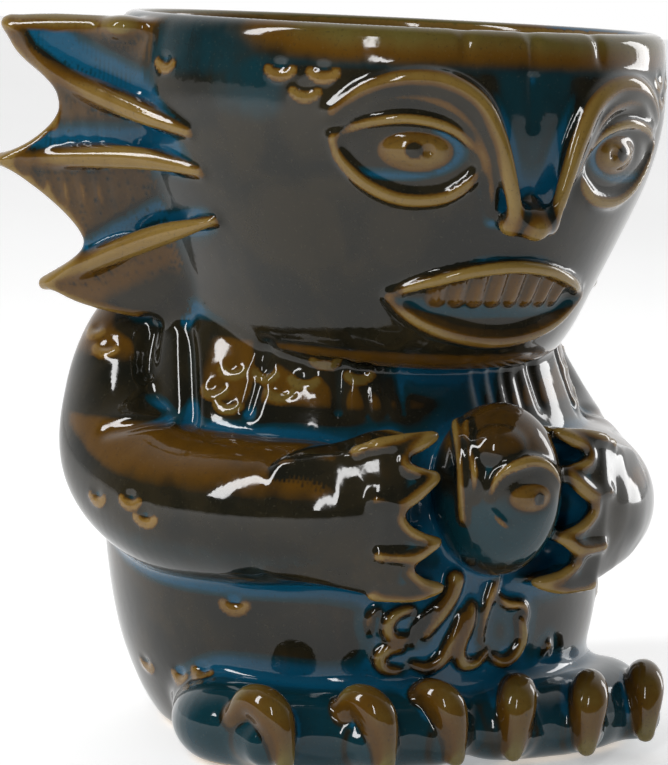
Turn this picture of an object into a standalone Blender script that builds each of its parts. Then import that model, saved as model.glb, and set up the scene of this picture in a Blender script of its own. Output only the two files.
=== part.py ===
"""A stoneware tiki mug: a crouching sea idol that clasps an octopus.

The hollow vessel is the idol's head and torso. Every modelled piece luted onto it (fins, brows, eyes, lips,
arms, hands, octopus, feet, claws and scales) is a solid of its own, one slip joint away from its neighbours.
Sizes are millimetres until a mesh is made. The idol faces -Y, its right side is at -X, and it stands on
Z = 0.
"""

import math
from collections import namedtuple

import bmesh
import bpy
from mathutils import Vector

MM = 0.001
MUG_HEIGHT = 140.0
RIM_HALF_WIDTH = 53.0
FIN_HALF_SPAN = 73.0
WALL = 4.6
FLOOR = 7.0
SLIP_JOINT = 0.3  # the gap that a luted joint leaves between two pieces
WALL_SEGMENTS = 36
WALL_STEP = 9.0

RIGHT, LEFT = -1, 1
UP = Vector((0.0, 0.0, 1.0))
ACROSS = Vector((1.0, 0.0, 0.0))

# One horizontal cut through the wall. front and back are its depths before and behind centre_y, and tilt is
# how much it rises per millimetre of Y.
Section = namedtuple("Section", "height half_width front back centre_y tilt")

TORSO = [
    Section(0.0, 36.0, 33.0, 34.0, 2.0, 0.0),
    Section(2.0, 39.0, 36.5, 37.5, 2.0, 0.0),
    Section(8.0, 43.0, 41.0, 42.0, 2.0, 0.0),
    Section(18.0, 47.0, 45.0, 46.0, 2.0, 0.0),
    Section(32.0, 49.5, 47.5, 48.5, 3.0, 0.0),
    Section(46.0, 50.0, 47.5, 49.0, 5.0, 0.0),
    Section(60.0, 48.5, 45.0, 48.0, 8.0, 0.0),
    Section(72.0, 45.5, 42.0, 45.0, 10.5, 0.0),
    Section(77.0, 42.5, 38.5, 42.5, 11.7, 0.04),
]
HEAD = [
    Section(79.0, 39.0, 47.0, 43.5, 10.0, 0.10),
    Section(84.0, 40.5, 52.5, 44.0, 9.0, 0.06),
    Section(90.0, 42.5, 55.5, 45.5, 7.5, 0.02),
    Section(100.0, 47.0, 56.5, 48.5, 4.5, 0.0),
    Section(112.0, 51.5, 56.5, 51.5, 1.0, 0.0),
    Section(124.0, 53.8, 55.0, 53.5, -1.5, 0.0),
    Section(MUG_HEIGHT, RIM_HALF_WIDTH, 53.0, 53.0, -2.5, 0.0),
]
BOWL = [
    Section(FLOOR, 30.0, 28.0, 29.0, 2.0, 0.0),
    Section(10.5, 37.5, 35.5, 36.5, 2.0, 0.0),
    Section(18.0, 42.0, 40.2, 41.2, 2.0, 0.0),
    Section(32.0, 44.9, 42.9, 43.9, 3.0, 0.0),
    Section(46.0, 45.4, 42.9, 44.4, 5.0, 0.0),
    Section(60.0, 43.9, 40.4, 43.4, 8.0, 0.0),
    Section(72.0, 39.5, 36.0, 39.0, 10.5, 0.0),
    Section(79.0, 35.0, 32.5, 38.0, 11.5, 0.0),
    Section(85.0, 35.5, 38.5, 39.0, 9.0, 0.0),
    Section(91.0, 38.4, 47.0, 41.2, 7.0, 0.0),
    Section(100.0, 42.4, 51.4, 43.9, 4.5, 0.0),
    Section(112.0, 46.9, 51.9, 46.9, 1.0, 0.0),
    Section(124.0, 49.2, 50.4, 48.9, -1.5, 0.0),
    Section(MUG_HEIGHT, RIM_HALF_WIDTH - WALL, 53.0 - WALL, 53.0 - WALL, -2.5, 0.0),
]
# How far the rounded rim runs in from the outer wall at each height below the lip.
RIM_ROUND = [(2.0, 0.0), (0.6, 0.6), (0.0, 1.7), (0.0, WALL - 1.7), (0.6, WALL - 0.6), (2.0, WALL)]

GLAZES = {
    "dark_glaze": (0.045, 0.04, 0.022),
    "amber_glaze": (0.30, 0.19, 0.06),
    "olive_glaze": (0.13, 0.11, 0.035),
    "teal_glaze": (0.012, 0.09, 0.14),
    "brown_glaze": (0.10, 0.06, 0.022),
}


# ---- curves and the two walls


def eased(keys, t):
    """The tuple that a smooth curve through keys passes at t, where t counts keys from 0."""
    last = len(keys) - 1
    i = min(int(t), last - 1)
    u = t - i
    p0, p1, p2, p3 = keys[max(i - 1, 0)], keys[i], keys[i + 1], keys[min(i + 2, last)]
    values = []
    for a, b, c, d in zip(p0, p1, p2, p3):
        values.append(b + 0.5 * u * (c - a + u * (2 * a - 5 * b + 4 * c - d + u * (3 * (b - c) + d - a))))
    return tuple(values)


def resampled(keys, count):
    """count tuples spread over the smooth curve through keys."""
    return [eased(keys, k * (len(keys) - 1) / (count - 1)) for k in range(count)]


def blended(sections, height):
    """The section at any height, on smooth curves through the given ones."""
    last = len(sections) - 2
    i = max(k for k in range(last + 1) if k == 0 or sections[k].height <= height)
    a, b = sections[i], sections[i + 1]
    before, after = sections[max(i - 1, 0)], sections[min(i + 2, last + 1)]
    gap = b.height - a.height
    t = min(max((height - a.height) / gap, 0.0), 1.0)
    values = []
    for p, q, r, s in zip(before[1:], a[1:], b[1:], after[1:]):
        leaving = (r - p) / (b.height - before.height) * gap
        arriving = (s - q) / (after.height - a.height) * gap
        first = (2 * t**3 - 3 * t**2 + 1) * q + (t**3 - 2 * t**2 + t) * leaving
        values.append(first + (3 * t**2 - 2 * t**3) * r + (t**3 - t**2) * arriving)
    return Section(height, *values)


def on_section(section, turn):
    """A point of a section. turn is in degrees from the front, positive towards the idol's left."""
    angle = math.radians(turn)
    depth = section.front if math.cos(angle) > 0 else section.back
    y = section.centre_y - depth * math.cos(angle)
    return Vector((section.half_width * math.sin(angle), y, section.height + section.tilt * y))


def on_wall(sections, turn, height, lift=0.0):
    """A point at a lift above the wall, and the wall's outward normal there."""
    here = on_section(blended(sections, height), turn)
    level = blended(sections, height)
    above, below = blended(sections, height + 0.5), blended(sections, height - 0.5)
    across = on_section(level, turn + 1.0) - on_section(level, turn - 1.0)
    upward = on_section(above, turn) - on_section(below, turn)
    normal = across.cross(upward).normalized()
    return here + normal * lift, normal


# ---- meshes


def link(name, mesh_data, glaze, hidden=False):
    """A mesh object in the scene, with a glaze of its own unless it only cuts."""
    mesh = bpy.data.meshes.new(name)
    mesh_data.to_mesh(mesh)
    mesh_data.free()
    piece = bpy.data.objects.new(name, mesh)
    bpy.context.scene.collection.objects.link(piece)
    if hidden:
        piece.hide_render = True
        piece.display_type = "WIRE"
        return piece
    material = bpy.data.materials.new(name)
    material.use_nodes = True
    shader = material.node_tree.nodes["Principled BSDF"]
    shader.inputs["Base Color"].default_value = (*GLAZES[glaze], 1.0)
    shader.inputs["Roughness"].default_value = 0.15
    material.diffuse_color = (*GLAZES[glaze], 1.0)
    mesh.materials.append(material)
    for face in mesh.polygons:
        face.use_smooth = True
    return piece


def lofted(rings):
    """A closed solid through rings of equal length, its two ends fanned shut."""
    solid = bmesh.new()
    rows = [[solid.verts.new(point * MM) for point in ring] for ring in rings]
    count = len(rings[0])
    for lower, upper in zip(rows, rows[1:]):
        for k in range(count):
            solid.faces.new((lower[k], lower[(k + 1) % count], upper[(k + 1) % count], upper[k]))
    for row, turned in ((rows[0], True), (rows[-1], False)):
        middle = solid.verts.new(sum((vert.co for vert in row), Vector()) / count)
        for k in range(count):
            pair = (row[(k + 1) % count], row[k]) if turned else (row[k], row[(k + 1) % count])
            solid.faces.new((*pair, middle))
    bmesh.ops.recalc_face_normals(solid, faces=solid.faces)
    return solid


def swept(path, sides, widths, depths, around=8):
    """A round bar along path. sides are its unit width directions, widths and depths its half sizes."""
    rings = []
    last = len(path) - 1
    for i, (point, side, width, depth) in enumerate(zip(path, sides, widths, depths)):
        along = (path[min(i + 1, last)] - path[max(i - 1, 0)]).normalized()
        side = (side - along * side.dot(along)).normalized()
        other = along.cross(side)
        ring = []
        for k in range(around):
            angle = 2 * math.pi * k / around
            ring.append(point + side * width * math.cos(angle) + other * depth * math.sin(angle))
        rings.append(ring)
    for end, ring in ((0, rings[0]), (last, rings[-1])):
        inner = path[1] if end == 0 else path[-2]
        outward = (path[end] - inner).normalized()
        reach = 0.45 * min(widths[end], depths[end])
        cap = [path[end] + (point - path[end]) * 0.6 + outward * reach for point in ring]
        if end == 0:
            rings.insert(0, cap)
        else:
            rings.append(cap)
    return lofted(rings)


def ridge(name, sections, keys, glaze, around=8, count=7, side=LEFT):
    """A rounded ridge on the wall. keys are (turn, height, half width, lift) along it, for the left side."""
    path, sides, widths, depths = [], [], [], []
    stations = resampled(keys, count)
    points = [on_wall(sections, side * turn, height) for turn, height, _, _ in stations]
    for i, ((_, _, width, lift), (point, normal)) in enumerate(zip(stations, points)):
        ahead = points[min(i + 1, count - 1)][0] - points[max(i - 1, 0)][0]
        path.append(point)
        sides.append(normal.cross(ahead).normalized())
        widths.append(max(width, 0.35))
        depths.append(max(lift, 0.7))
    return link(name, swept(path, sides, widths, depths, around), glaze)


def bar(name, keys, glaze, around=10, count=9, side_hint=UP):
    """A free bar. keys are (x, y, z, half size along side_hint, half size across it)."""
    stations = resampled(keys, count)
    path = [Vector(station[:3]) for station in stations]
    widths = [station[3] for station in stations]
    depths = [station[4] for station in stations]
    return link(name, swept(path, [side_hint] * count, widths, depths, around), glaze)


def ball(name, centre, radii, glaze, segments=16, rings=10, hidden=False):
    """An ellipsoid."""
    solid = bmesh.new()
    bmesh.ops.create_uvsphere(solid, u_segments=segments, v_segments=rings, radius=1.0)
    for vert in solid.verts:
        vert.co = Vector([(c + v * r) * MM for c, v, r in zip(centre, vert.co, radii)])
    return link(name, solid, glaze, hidden)


def slab(name, outline, thickness, glaze):
    """A flat plate with rounded edges over a closed outline."""
    normal = Vector()
    for here, ahead in zip(outline, outline[1:] + outline[:1]):
        normal += here.cross(ahead)
    normal.normalize()
    middle = sum(outline, Vector()) / len(outline)
    flat = [point - normal * normal.dot(point - middle) for point in outline]
    solid = bmesh.new()
    back = [solid.verts.new((point - normal * thickness / 2) * MM) for point in flat]
    front = [solid.verts.new((point + normal * thickness / 2) * MM) for point in flat]
    faces = [solid.faces.new(back[::-1]), solid.faces.new(front)]
    edges = [edge for face in faces for edge in face.edges]
    for k in range(len(flat)):
        after = (k + 1) % len(flat)
        solid.faces.new((back[k], back[after], front[after], front[k]))
    bmesh.ops.bevel(solid, geom=edges, offset=0.8 * MM, segments=1, profile=0.5, affect="EDGES")
    bmesh.ops.triangulate(solid, faces=solid.faces)
    return link(name, solid, glaze)


def cutter_of(piece):
    """A hidden copy of a piece, grown by one slip joint."""
    solid = bmesh.new()
    solid.from_mesh(piece.data)
    solid.normal_update()
    moves = [vert.normal * SLIP_JOINT * MM * min(vert.calc_shell_factor(), 1.6) for vert in solid.verts]
    for vert, move in zip(solid.verts, moves):
        vert.co += move
    return link(piece.name + "_clearance", solid, None, hidden=True)


CUTTERS = {}  # one for each piece that others are cut to, by its name


def clear_of(piece, *neighbours):
    """Cut a piece back so that one slip joint separates it from each neighbour."""
    for neighbour in neighbours:
        if neighbour.name not in CUTTERS:
            CUTTERS[neighbour.name] = cutter_of(neighbour)
        cut = piece.modifiers.new("clear_" + neighbour.name, "BOOLEAN")
        cut.operation = "DIFFERENCE"
        cut.solver = "EXACT"
        cut.object = CUTTERS[neighbour.name]
    return piece


# ---- the vessel


def wall_rings(sections, first, last):
    """Rings of the wall between two heights, evenly spaced."""
    steps = max(round((last - first) / WALL_STEP), 1)
    rings = []
    for step in range(steps + 1):
        section = blended(sections, first + (last - first) * step / steps)
        rings.append([on_section(section, 360.0 * k / WALL_SEGMENTS) for k in range(WALL_SEGMENTS)])
    return rings


def rim_rings():
    """The rings that carry the wall over the rounded rim."""
    rings = []
    for drop, inset in RIM_ROUND:
        s = blended(HEAD, MUG_HEIGHT - drop)
        inner = Section(s.height, s.half_width - inset, s.front - inset, s.back - inset, s.centre_y, 0.0)
        rings.append([on_section(inner, 360.0 * k / WALL_SEGMENTS) for k in range(WALL_SEGMENTS)])
    return rings


def outer_rings():
    torso = [wall_rings(TORSO, 0.0, 2.0)[0]] + wall_rings(TORSO, 2.0, 77.0)
    return torso + wall_rings(HEAD, 79.0, MUG_HEIGHT - RIM_ROUND[0][0] - WALL_STEP)


def build_vessel():
    """The hollow head and torso, and the filled copy of its outside that the luted pieces are cut to."""
    bowl = wall_rings(BOWL, FLOOR, 10.5)[:1]
    bowl += wall_rings(BOWL, 10.5, MUG_HEIGHT - RIM_ROUND[-1][0] - WALL_STEP)
    outside = outer_rings()
    vessel = link("vessel_body", lofted(outside + rim_rings() + bowl[::-1]), "dark_glaze")
    filled = link("filled_outside", lofted(outside + rim_rings()[:3]), None, hidden=True)
    CUTTERS[vessel.name] = cutter_of(filled)
    return vessel


# ---- the fins

FIN_ROOT = [
    (-52.0, -3.0, 137.0),
    (-52.5, -1.0, 121.0),
    (-47.5, 0.0, 103.0),
    (-43.0, 4.0, 88.0),
    (-40.0, 8.0, 83.0),
]
# Down the free edge: three pointed tips and the two bays between them.
FIN_EDGE = [
    (-58.0, 4.0, 138.2),
    (-71.0, 19.0, 136.0),
    (-64.0, 15.0, 122.5),
    (-FIN_HALF_SPAN, 19.5, 110.0),
    (-59.5, 14.5, 97.0),
    (-61.5, 19.5, 86.5),
    (-50.0, 15.0, 83.0),
]
SPINES = {
    "top": [(-51.8, -15.0, 119.0), (-56.0, -4.0, 125.5), (-63.0, 7.5, 131.5), (-71.8, 20.0, 136.5)],
    "middle": [(-49.5, -16.0, 111.0), (-55.5, -5.0, 112.5), (-63.0, 7.0, 112.0), (-73.2, 20.0, 110.3)],
    "low": [(-45.0, -17.0, 102.5), (-50.5, -6.0, 99.0), (-55.0, 6.0, 93.5), (-61.8, 20.0, 86.5)],
}


def mirrored(points, side):
    """Points given for the right side, moved to the side that is asked for."""
    return [Vector((-side * point[0], point[1], point[2])) for point in points]


def build_fin(side, word, vessel):
    """One ear fin: a scalloped web with three spines on its front."""
    rows = 13
    across = 4
    front, back = [], []
    roots = resampled(FIN_ROOT, rows)
    edges = []
    for k in range(rows):
        t = k * (len(FIN_EDGE) - 1) / (rows - 1)
        i = min(int(t), len(FIN_EDGE) - 2)
        a, b = Vector(FIN_EDGE[i]), Vector(FIN_EDGE[i + 1])
        edges.append(a.lerp(b, t - i))
    for root, edge in zip(roots, edges):
        root, edge = Vector(root) + Vector((6.0, 0.0, 0.0)), Vector(edge)
        outward = (edge - root).normalized()
        normal = outward.cross(UP).normalized()
        normal = normal if normal.y < 0 else -normal
        row_front, row_back = [], []
        for k in range(across):
            t = k / (across - 1)
            half = 3.2 * (1 - t) + 1.1 * t
            middle = root.lerp(edge, t) - normal * 2.6 * (1 - 0.6 * t)
            row_front.append(middle + normal * half)
            row_back.append(middle - normal * half)
        front.append(row_front)
        back.append(row_back[::-1])
    rings = [mirrored(a + b, side) for a, b in zip(front, back)]
    web = link(word + "_fin_web", lofted(rings), "teal_glaze")
    clear_of(web, vessel)
    spines = []
    for place, keys in SPINES.items():
        path = [(-side * x, y, z, half, half) for (x, y, z), half in zip(keys, (2.6, 3.2, 2.7, 0.9))]
        spine = bar(f"{word}_fin_{place}_spine", path, "amber_glaze", around=8, count=7)
        spines.append(spine)
    clear_of(web, *spines)
    for spine in spines:
        clear_of(spine, vessel)


# ---- the face: (turn, height, half width, lift) along each ridge, given for the left side

BROW = [
    (40, 124.5, 0.9, 1.0),
    (34, 128.6, 1.5, 2.4),
    (27, 130.4, 1.8, 3.2),
    (19, 130.0, 1.9, 3.6),
    (12.5, 126.6, 1.9, 4.2),
    (8.4, 120.5, 1.8, 4.8),
    (6.2, 114.5, 1.6, 5.2),
    (4.9, 109.0, 1.5, 5.6),
]
LID_FOLD = [
    (37, 123.6, 0.7, 0.9),
    (28, 126.9, 1.2, 2.2),
    (19.5, 126.2, 1.3, 2.6),
    (13.2, 121.5, 1.3, 3.0),
    (10.5, 115.5, 1.2, 3.0),
    (9.2, 109.5, 0.8, 1.6),
]
UPPER_LID = [
    (39.5, 119.2, 0.6, 1.0),
    (33, 122.3, 1.0, 2.2),
    (25, 123.6, 1.2, 2.6),
    (17.5, 121.9, 1.1, 2.5),
    (11.8, 116.0, 0.7, 1.3),
]
LOWER_LID = [
    (41, 117.5, 0.7, 1.0),
    (38, 113.2, 1.1, 1.8),
    (31, 109.4, 1.2, 2.2),
    (23, 108.1, 1.2, 2.2),
    (16.5, 109.8, 1.0, 1.8),
    (13, 113.0, 0.6, 1.0),
]
NOSE = [
    (0, 113.5, 2.4, 3.0),
    (0, 108.5, 3.2, 5.6),
    (0, 104.0, 4.4, 7.6),
    (0, 100.5, 5.0, 7.6),
    (0, 98.4, 3.6, 4.0),
]
EYE_TURN, EYE_HEIGHT, EYE_HALF_LENGTH, EYE_HALF_HEIGHT = 24.8, 117.5, 11.6, 4.3
UPPER_LIP = [
    (-27.5, 91.6, 0.9, 1.2),
    (-20, 93.8, 1.6, 3.0),
    (-10, 96.2, 1.9, 3.8),
    (0, 97.0, 2.0, 4.0),
    (10, 96.2, 1.9, 3.8),
    (20, 93.8, 1.6, 3.0),
    (27.5, 91.6, 0.9, 1.2),
]
LOWER_LIP = [
    (-28.5, 90.0, 0.9, 1.2),
    (-24, 86.8, 1.5, 2.6),
    (-13, 84.2, 1.9, 3.6),
    (0, 83.2, 2.0, 4.0),
    (13, 84.2, 1.9, 3.6),
    (24, 86.8, 1.5, 2.6),
    (28.5, 90.0, 0.9, 1.2),
]
TOOTH_TURNS = (-17.5, -12.5, -7.5, -2.5, 2.5, 7.5, 12.5, 17.5)


def build_eyeball(side, word, vessel):
    """The almond of one eye, bulging from the wall."""
    centre, normal = on_wall(HEAD, side * EYE_TURN, EYE_HEIGHT)
    across = UP.cross(normal).normalized()
    upward = normal.cross(across)
    rings = []
    for depth, size in ((-2.0, 0.9), (0.2, 1.0), (1.1, 0.86), (1.9, 0.5)):
        ring = []
        for k in range(16):
            angle = 2 * math.pi * k / 16
            x = EYE_HALF_LENGTH * math.cos(angle)
            z = EYE_HALF_HEIGHT * math.sin(angle) * abs(math.sin(angle)) ** 0.35
            bent = -(x * size) ** 2 / 96.0
            ring.append(centre + across * x * size + upward * z * size + normal * (depth + bent))
        rings.append(ring)
    eyeball = link(word + "_eyeball", lofted(rings), "amber_glaze")
    return clear_of(eyeball, vessel)


def build_teeth(vessel, upper_lip):
    """The row of upper teeth under the lip, cast as one strip with a notch between teeth."""
    rings = []
    turns = []
    for centre in TOOTH_TURNS:
        turns += [(centre - 2.3, 0.0), (centre - 1.2, 1.0), (centre + 1.2, 1.0), (centre + 2.3, 0.0)]
    for turn, full in turns:
        arch = 1.0 - (turn / 24.0) ** 2
        top = 90.5 + 4.6 * arch
        low = top - 2.2 - 2.6 * arch - 0.9 * full
        lift = 1.0 + 0.6 * full
        ring = []
        middle = (top + low) / 2
        for height, off in ((top, -1.5), (top, lift * 0.7), (middle, lift), (low, lift * 0.6), (low, -1.5)):
            ring.append(on_wall(HEAD, turn, height, off)[0])
        rings.append(ring)
    teeth = link("teeth", lofted(rings), "olive_glaze")
    return clear_of(teeth, vessel, upper_lip)


def build_face(vessel):
    over_eyes = []
    for side, word in ((RIGHT, "right"), (LEFT, "left")):
        brow = ridge(word + "_brow", HEAD, BROW, "amber_glaze", count=10, side=side)
        lid = ridge(word + "_upper_lid", HEAD, UPPER_LID, "amber_glaze", side=side)
        under = ridge(word + "_lower_lid", HEAD, LOWER_LID, "amber_glaze", side=side)
        fold = ridge(word + "_lid_fold", HEAD, LID_FOLD, "olive_glaze", around=6, count=9, side=side)
        eyeball = build_eyeball(side, word, vessel)
        clear_of(brow, vessel)
        clear_of(lid, vessel)
        clear_of(under, vessel, lid)
        clear_of(fold, vessel, lid, brow, under)
        clear_of(eyeball, lid, under)
        over_eyes += [brow, fold]
    nose = ridge("nose", HEAD, NOSE, "olive_glaze", around=12, count=8)
    clear_of(nose, vessel)
    for piece in over_eyes:
        clear_of(piece, nose)
    upper_lip = clear_of(ridge("upper_lip", HEAD, UPPER_LIP, "amber_glaze", count=15), vessel, nose)
    lower_lip = ridge("lower_lip", HEAD, LOWER_LIP, "amber_glaze", count=15)
    clear_of(lower_lip, vessel, upper_lip)
    build_teeth(vessel, upper_lip)


# ---- arms and hands: (x, y, z, half height, half depth), given for the right side

ARM = [
    (-39.0, 20.0, 80.5, 6.5, 7.5),
    (-41.5, 19.5, 74.0, 9.0, 12.5),
    (-43.0, 17.0, 64.0, 12.0, 15.5),
    (-45.5, 9.0, 52.5, 15.0, 15.5),
    (-44.5, -6.0, 47.0, 14.6, 14.0),
    (-38.5, -23.0, 47.0, 14.0, 12.5),
    (-31.0, -33.0, 48.5, 13.2, 11.0),
    (-27.0, -37.0, 49.5, 11.0, 8.0),
]
# Round the webbed hand from the wrist: four pointed tips with a bay of web between each two.
HAND = [
    (-29.0, -43.0, 59.0),
    (-21.0, -47.5, 64.0),
    (-13.6, -50.0, 65.0),
    (-19.5, -49.5, 61.0),
    (-14.8, -53.0, 57.7),
    (-20.5, -50.5, 51.5),
    (-14.0, -52.6, 45.6),
    (-18.5, -49.0, 41.0),
    (-12.0, -49.0, 36.6),
    (-19.0, -47.5, 35.0),
    (-29.0, -43.5, 38.0),
    (-33.0, -42.5, 48.5),
]
FINGERS = {"upper": (2, 62.0), "index": (4, 56.0), "ring": (6, 46.5), "lower": (8, 39.0)}


def build_arm(side, word, vessel):
    """An arm that wraps round to the front, its webbed hand and four finger ridges."""
    keys = [(-side * x, y, z, half_height, half_depth) for x, y, z, half_height, half_depth in ARM]
    arm = clear_of(bar(word + "_arm", keys, "brown_glaze", around=12, count=11), vessel)
    hand = slab(word + "_hand", mirrored(HAND, side), 5.6, "amber_glaze")
    clear_of(hand, vessel, arm)
    fingers = []
    for place, (index, knuckle_height) in FINGERS.items():
        tip = Vector(HAND[index])
        base = Vector((-25.0, -46.4, knuckle_height))
        out = Vector((-0.35, -0.94, 0.0)) * 2.4
        keys = []
        for t, half in ((0.0, 1.2), (0.35, 1.7), (0.7, 1.5), (1.0, 0.9)):
            point = base.lerp(tip, t) + out * (1.0 - 0.25 * t)
            keys.append((-side * point.x, point.y, point.z, half, half))
        fingers.append(bar(f"{word}_{place}_finger", keys, "amber_glaze", around=8, count=6))
    clear_of(hand, *fingers)
    for finger in fingers:
        clear_of(finger, vessel, arm)
    return arm, hand, fingers


# ---- the octopus

OCTOPUS_CENTRE = Vector((2.4, -45.8, 54.0))
OCTOPUS_RADII = (12.2, 12.9, 16.4)
CREST = [
    (-3.6, -48.0, 67.6, 1.2, 1.3),
    (-6.6, -51.4, 61.6, 1.6, 1.7),
    (-7.6, -53.0, 54.5, 1.5, 1.6),
    (-6.8, -52.4, 47.5, 1.0, 1.1),
]
OCTOPUS_BROW = [
    (-4.0, -57.0, 55.8, 0.8, 0.9),
    (-2.0, -57.8, 59.2, 1.3, 1.4),
    (3.2, -58.2, 60.8, 1.4, 1.5),
    (8.4, -56.2, 58.2, 0.9, 1.0),
]
OCTOPUS_EYE_CENTRE = Vector((2.8, -57.2, 54.0))
OCTOPUS_EYE_RADII = (4.3, 2.6, 2.7)
TENTACLES = {
    "tentacle_1": [
        (-16, 31.3, 1.3, 2.0),
        (-18.5, 30.6, 1.6, 2.6),
        (-20.5, 28.4, 1.7, 2.6),
        (-19.5, 25.9, 1.4, 2.2),
    ],
    "tentacle_2": [
        (-18.6, 22.6, 1.0, 1.8),
        (-21.6, 22.6, 1.3, 2.3),
        (-23.4, 20.4, 1.4, 2.4),
        (-20.6, 18.2, 1.2, 2.0),
    ],
    "tentacle_3": [
        (-7, 35.5, 2.2, 2.6),
        (-8.5, 32.6, 2.0, 2.6),
        (-11.5, 28.6, 1.6, 2.4),
        (-13, 25.4, 1.0, 1.8),
    ],
    "tentacle_4": [
        (-3.4, 31.5, 1.4, 2.0),
        (-5.6, 26.5, 1.9, 2.8),
        (-8.5, 22, 2.0, 2.8),
        (-14, 20.3, 1.5, 2.2),
    ],
    "tentacle_5": [
        (0.8, 29.8, 1.2, 2.0),
        (-1.6, 25.4, 1.6, 2.6),
        (-0.4, 21.4, 1.6, 2.5),
        (4.4, 20.4, 1.1, 2.0),
    ],
    "tentacle_6": [
        (12.4, 27.4, 1.3, 2.0),
        (13.2, 24.2, 1.8, 2.6),
        (10.4, 21.2, 1.8, 2.6),
        (6.4, 21, 1.3, 2.0),
    ],
}


def build_octopus(vessel, arms):
    """The octopus head held between the hands, its one eye, crest and brow, and six curling tentacles."""
    head = ball("octopus_head", OCTOPUS_CENTRE, OCTOPUS_RADII, "amber_glaze", segments=16, rings=10)
    crest = bar("octopus_crest", CREST, "amber_glaze", around=8, count=8, side_hint=ACROSS)
    brow = bar("octopus_brow", OCTOPUS_BROW, "amber_glaze", around=8, count=8)
    eye = ball("octopus_eye", OCTOPUS_EYE_CENTRE, OCTOPUS_EYE_RADII, "amber_glaze", segments=12, rings=8)
    clear_of(head, vessel, crest, brow, eye)
    clear_of(eye, brow)
    for arm, hand, fingers in arms:
        clear_of(arm, head)
        clear_of(hand, head)
        for finger in fingers:
            clear_of(finger, head)
    for name, keys in TENTACLES.items():
        clear_of(ridge(name, TORSO, keys, "amber_glaze", count=8), vessel, head)


# ---- feet, claws and scales

FOOT = [
    (-46.0, -22.0, 8.0, 5.5, 6.0),
    (-40.5, -32.5, 8.2, 7.0, 8.5),
    (-29.0, -39.0, 8.4, 7.4, 8.5),
    (-15.0, -43.0, 8.4, 7.4, 7.0),
    (-5.0, -44.0, 8.2, 6.4, 5.0),
]
# Each claw hooks up from the side of its toe, over the top and down towards the table.
CLAWS = {
    "outer": [(-43.5, -33.5, 12.5), (-42.8, -37.5, 15.6), (-41.0, -42.5, 13.2), (-39.8, -45.6, 4.6)],
    "middle": [(-27.0, -42.6, 12.2), (-25.2, -45.6, 16.0), (-23.0, -50.0, 13.4), (-22.0, -51.8, 4.6)],
    "inner": [(-11.6, -42.8, 11.6), (-9.4, -45.0, 16.0), (-7.4, -49.4, 13.2), (-6.4, -50.6, 4.4)],
}
SCALES = {
    "right_temple_scale": (HEAD, -52.5, 130.8),
    "right_brow_scale": (HEAD, -46.5, 127.0),
    "right_skirt_scale": (TORSO, -54.0, 29.5),
    "right_heel_scale": (TORSO, -71.0, 15.4),
    "left_skirt_scale": (TORSO, 54.0, 29.5),
    "chest_scale": (TORSO, -24.0, 72.0),
}


def build_foot(side, word, vessel):
    """A webbed foot with three hooked claws."""
    keys = [(-side * x, y, z, half_height, half_depth) for x, y, z, half_height, half_depth in FOOT]
    foot = bar(word + "_foot", keys, "teal_glaze", around=10, count=8)
    claws = []
    for place, points in CLAWS.items():
        sizes = (1.8, 2.9, 3.3, 1.5)
        path = [(-side * x, y, z, half, half) for (x, y, z), half in zip(points, sizes)]
        claws.append(bar(f"{word}_{place}_claw", path, "amber_glaze", around=8, count=7, side_hint=ACROSS))
    clear_of(foot, *claws, vessel)
    for claw in claws:
        clear_of(claw, vessel)


def build_scale(name, sections, turn, height, vessel):
    """A crescent scale, its horns up."""
    width = 3.6
    keys = []
    for step in range(5):
        t = step / 2.0 - 1.0
        keys.append((turn + 4.0 * t, height + width * 0.55 * t * t, 1.1 - 0.5 * t * t, 1.5 - 0.6 * t * t))
    clear_of(ridge(name, sections, keys, "amber_glaze", around=6, count=6), vessel)


def build():
    for stale in list(bpy.data.objects):
        bpy.data.objects.remove(stale, do_unlink=True)
    vessel = build_vessel()
    arms = []
    for side, word in ((RIGHT, "right"), (LEFT, "left")):
        build_fin(side, word, vessel)
        arms.append(build_arm(side, word, vessel))
        clear_of(bpy.data.objects[word + "_fin_web"], arms[-1][0])
        build_foot(side, word, vessel)
    build_face(vessel)
    build_octopus(vessel, arms)
    for name, (sections, turn, height) in SCALES.items():
        build_scale(name, sections, turn, height, vessel)


build()
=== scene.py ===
import math

import bpy
import numpy as np
from mathutils import Matrix, Vector


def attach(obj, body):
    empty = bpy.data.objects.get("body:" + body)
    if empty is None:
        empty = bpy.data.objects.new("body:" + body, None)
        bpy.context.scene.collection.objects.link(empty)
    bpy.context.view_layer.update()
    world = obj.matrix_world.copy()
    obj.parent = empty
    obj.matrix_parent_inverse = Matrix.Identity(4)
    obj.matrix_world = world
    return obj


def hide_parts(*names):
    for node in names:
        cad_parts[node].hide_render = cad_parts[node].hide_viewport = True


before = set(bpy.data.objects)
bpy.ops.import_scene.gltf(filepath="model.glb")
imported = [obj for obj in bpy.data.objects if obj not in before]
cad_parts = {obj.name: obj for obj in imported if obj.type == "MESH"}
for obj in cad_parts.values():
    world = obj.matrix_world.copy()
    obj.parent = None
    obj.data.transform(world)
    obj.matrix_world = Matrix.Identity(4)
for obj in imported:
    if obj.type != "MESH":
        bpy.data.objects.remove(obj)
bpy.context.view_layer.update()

# The mug is one glazed skin. It is described as a solid field on a grid of voxels, in millimetres, where
# every modelled feature melts into its neighbours the way glaze rounds a crease. The field is meshed once,
# and the mesh is shared out between the sub-components.
VOXEL = 0.62
LOW = np.array([-78.0, -66.0, -1.55])
HIGH = np.array([78.0, 68.0, 142.0])
MUG_HEIGHT = 140.0
WALL = 4.6

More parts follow.
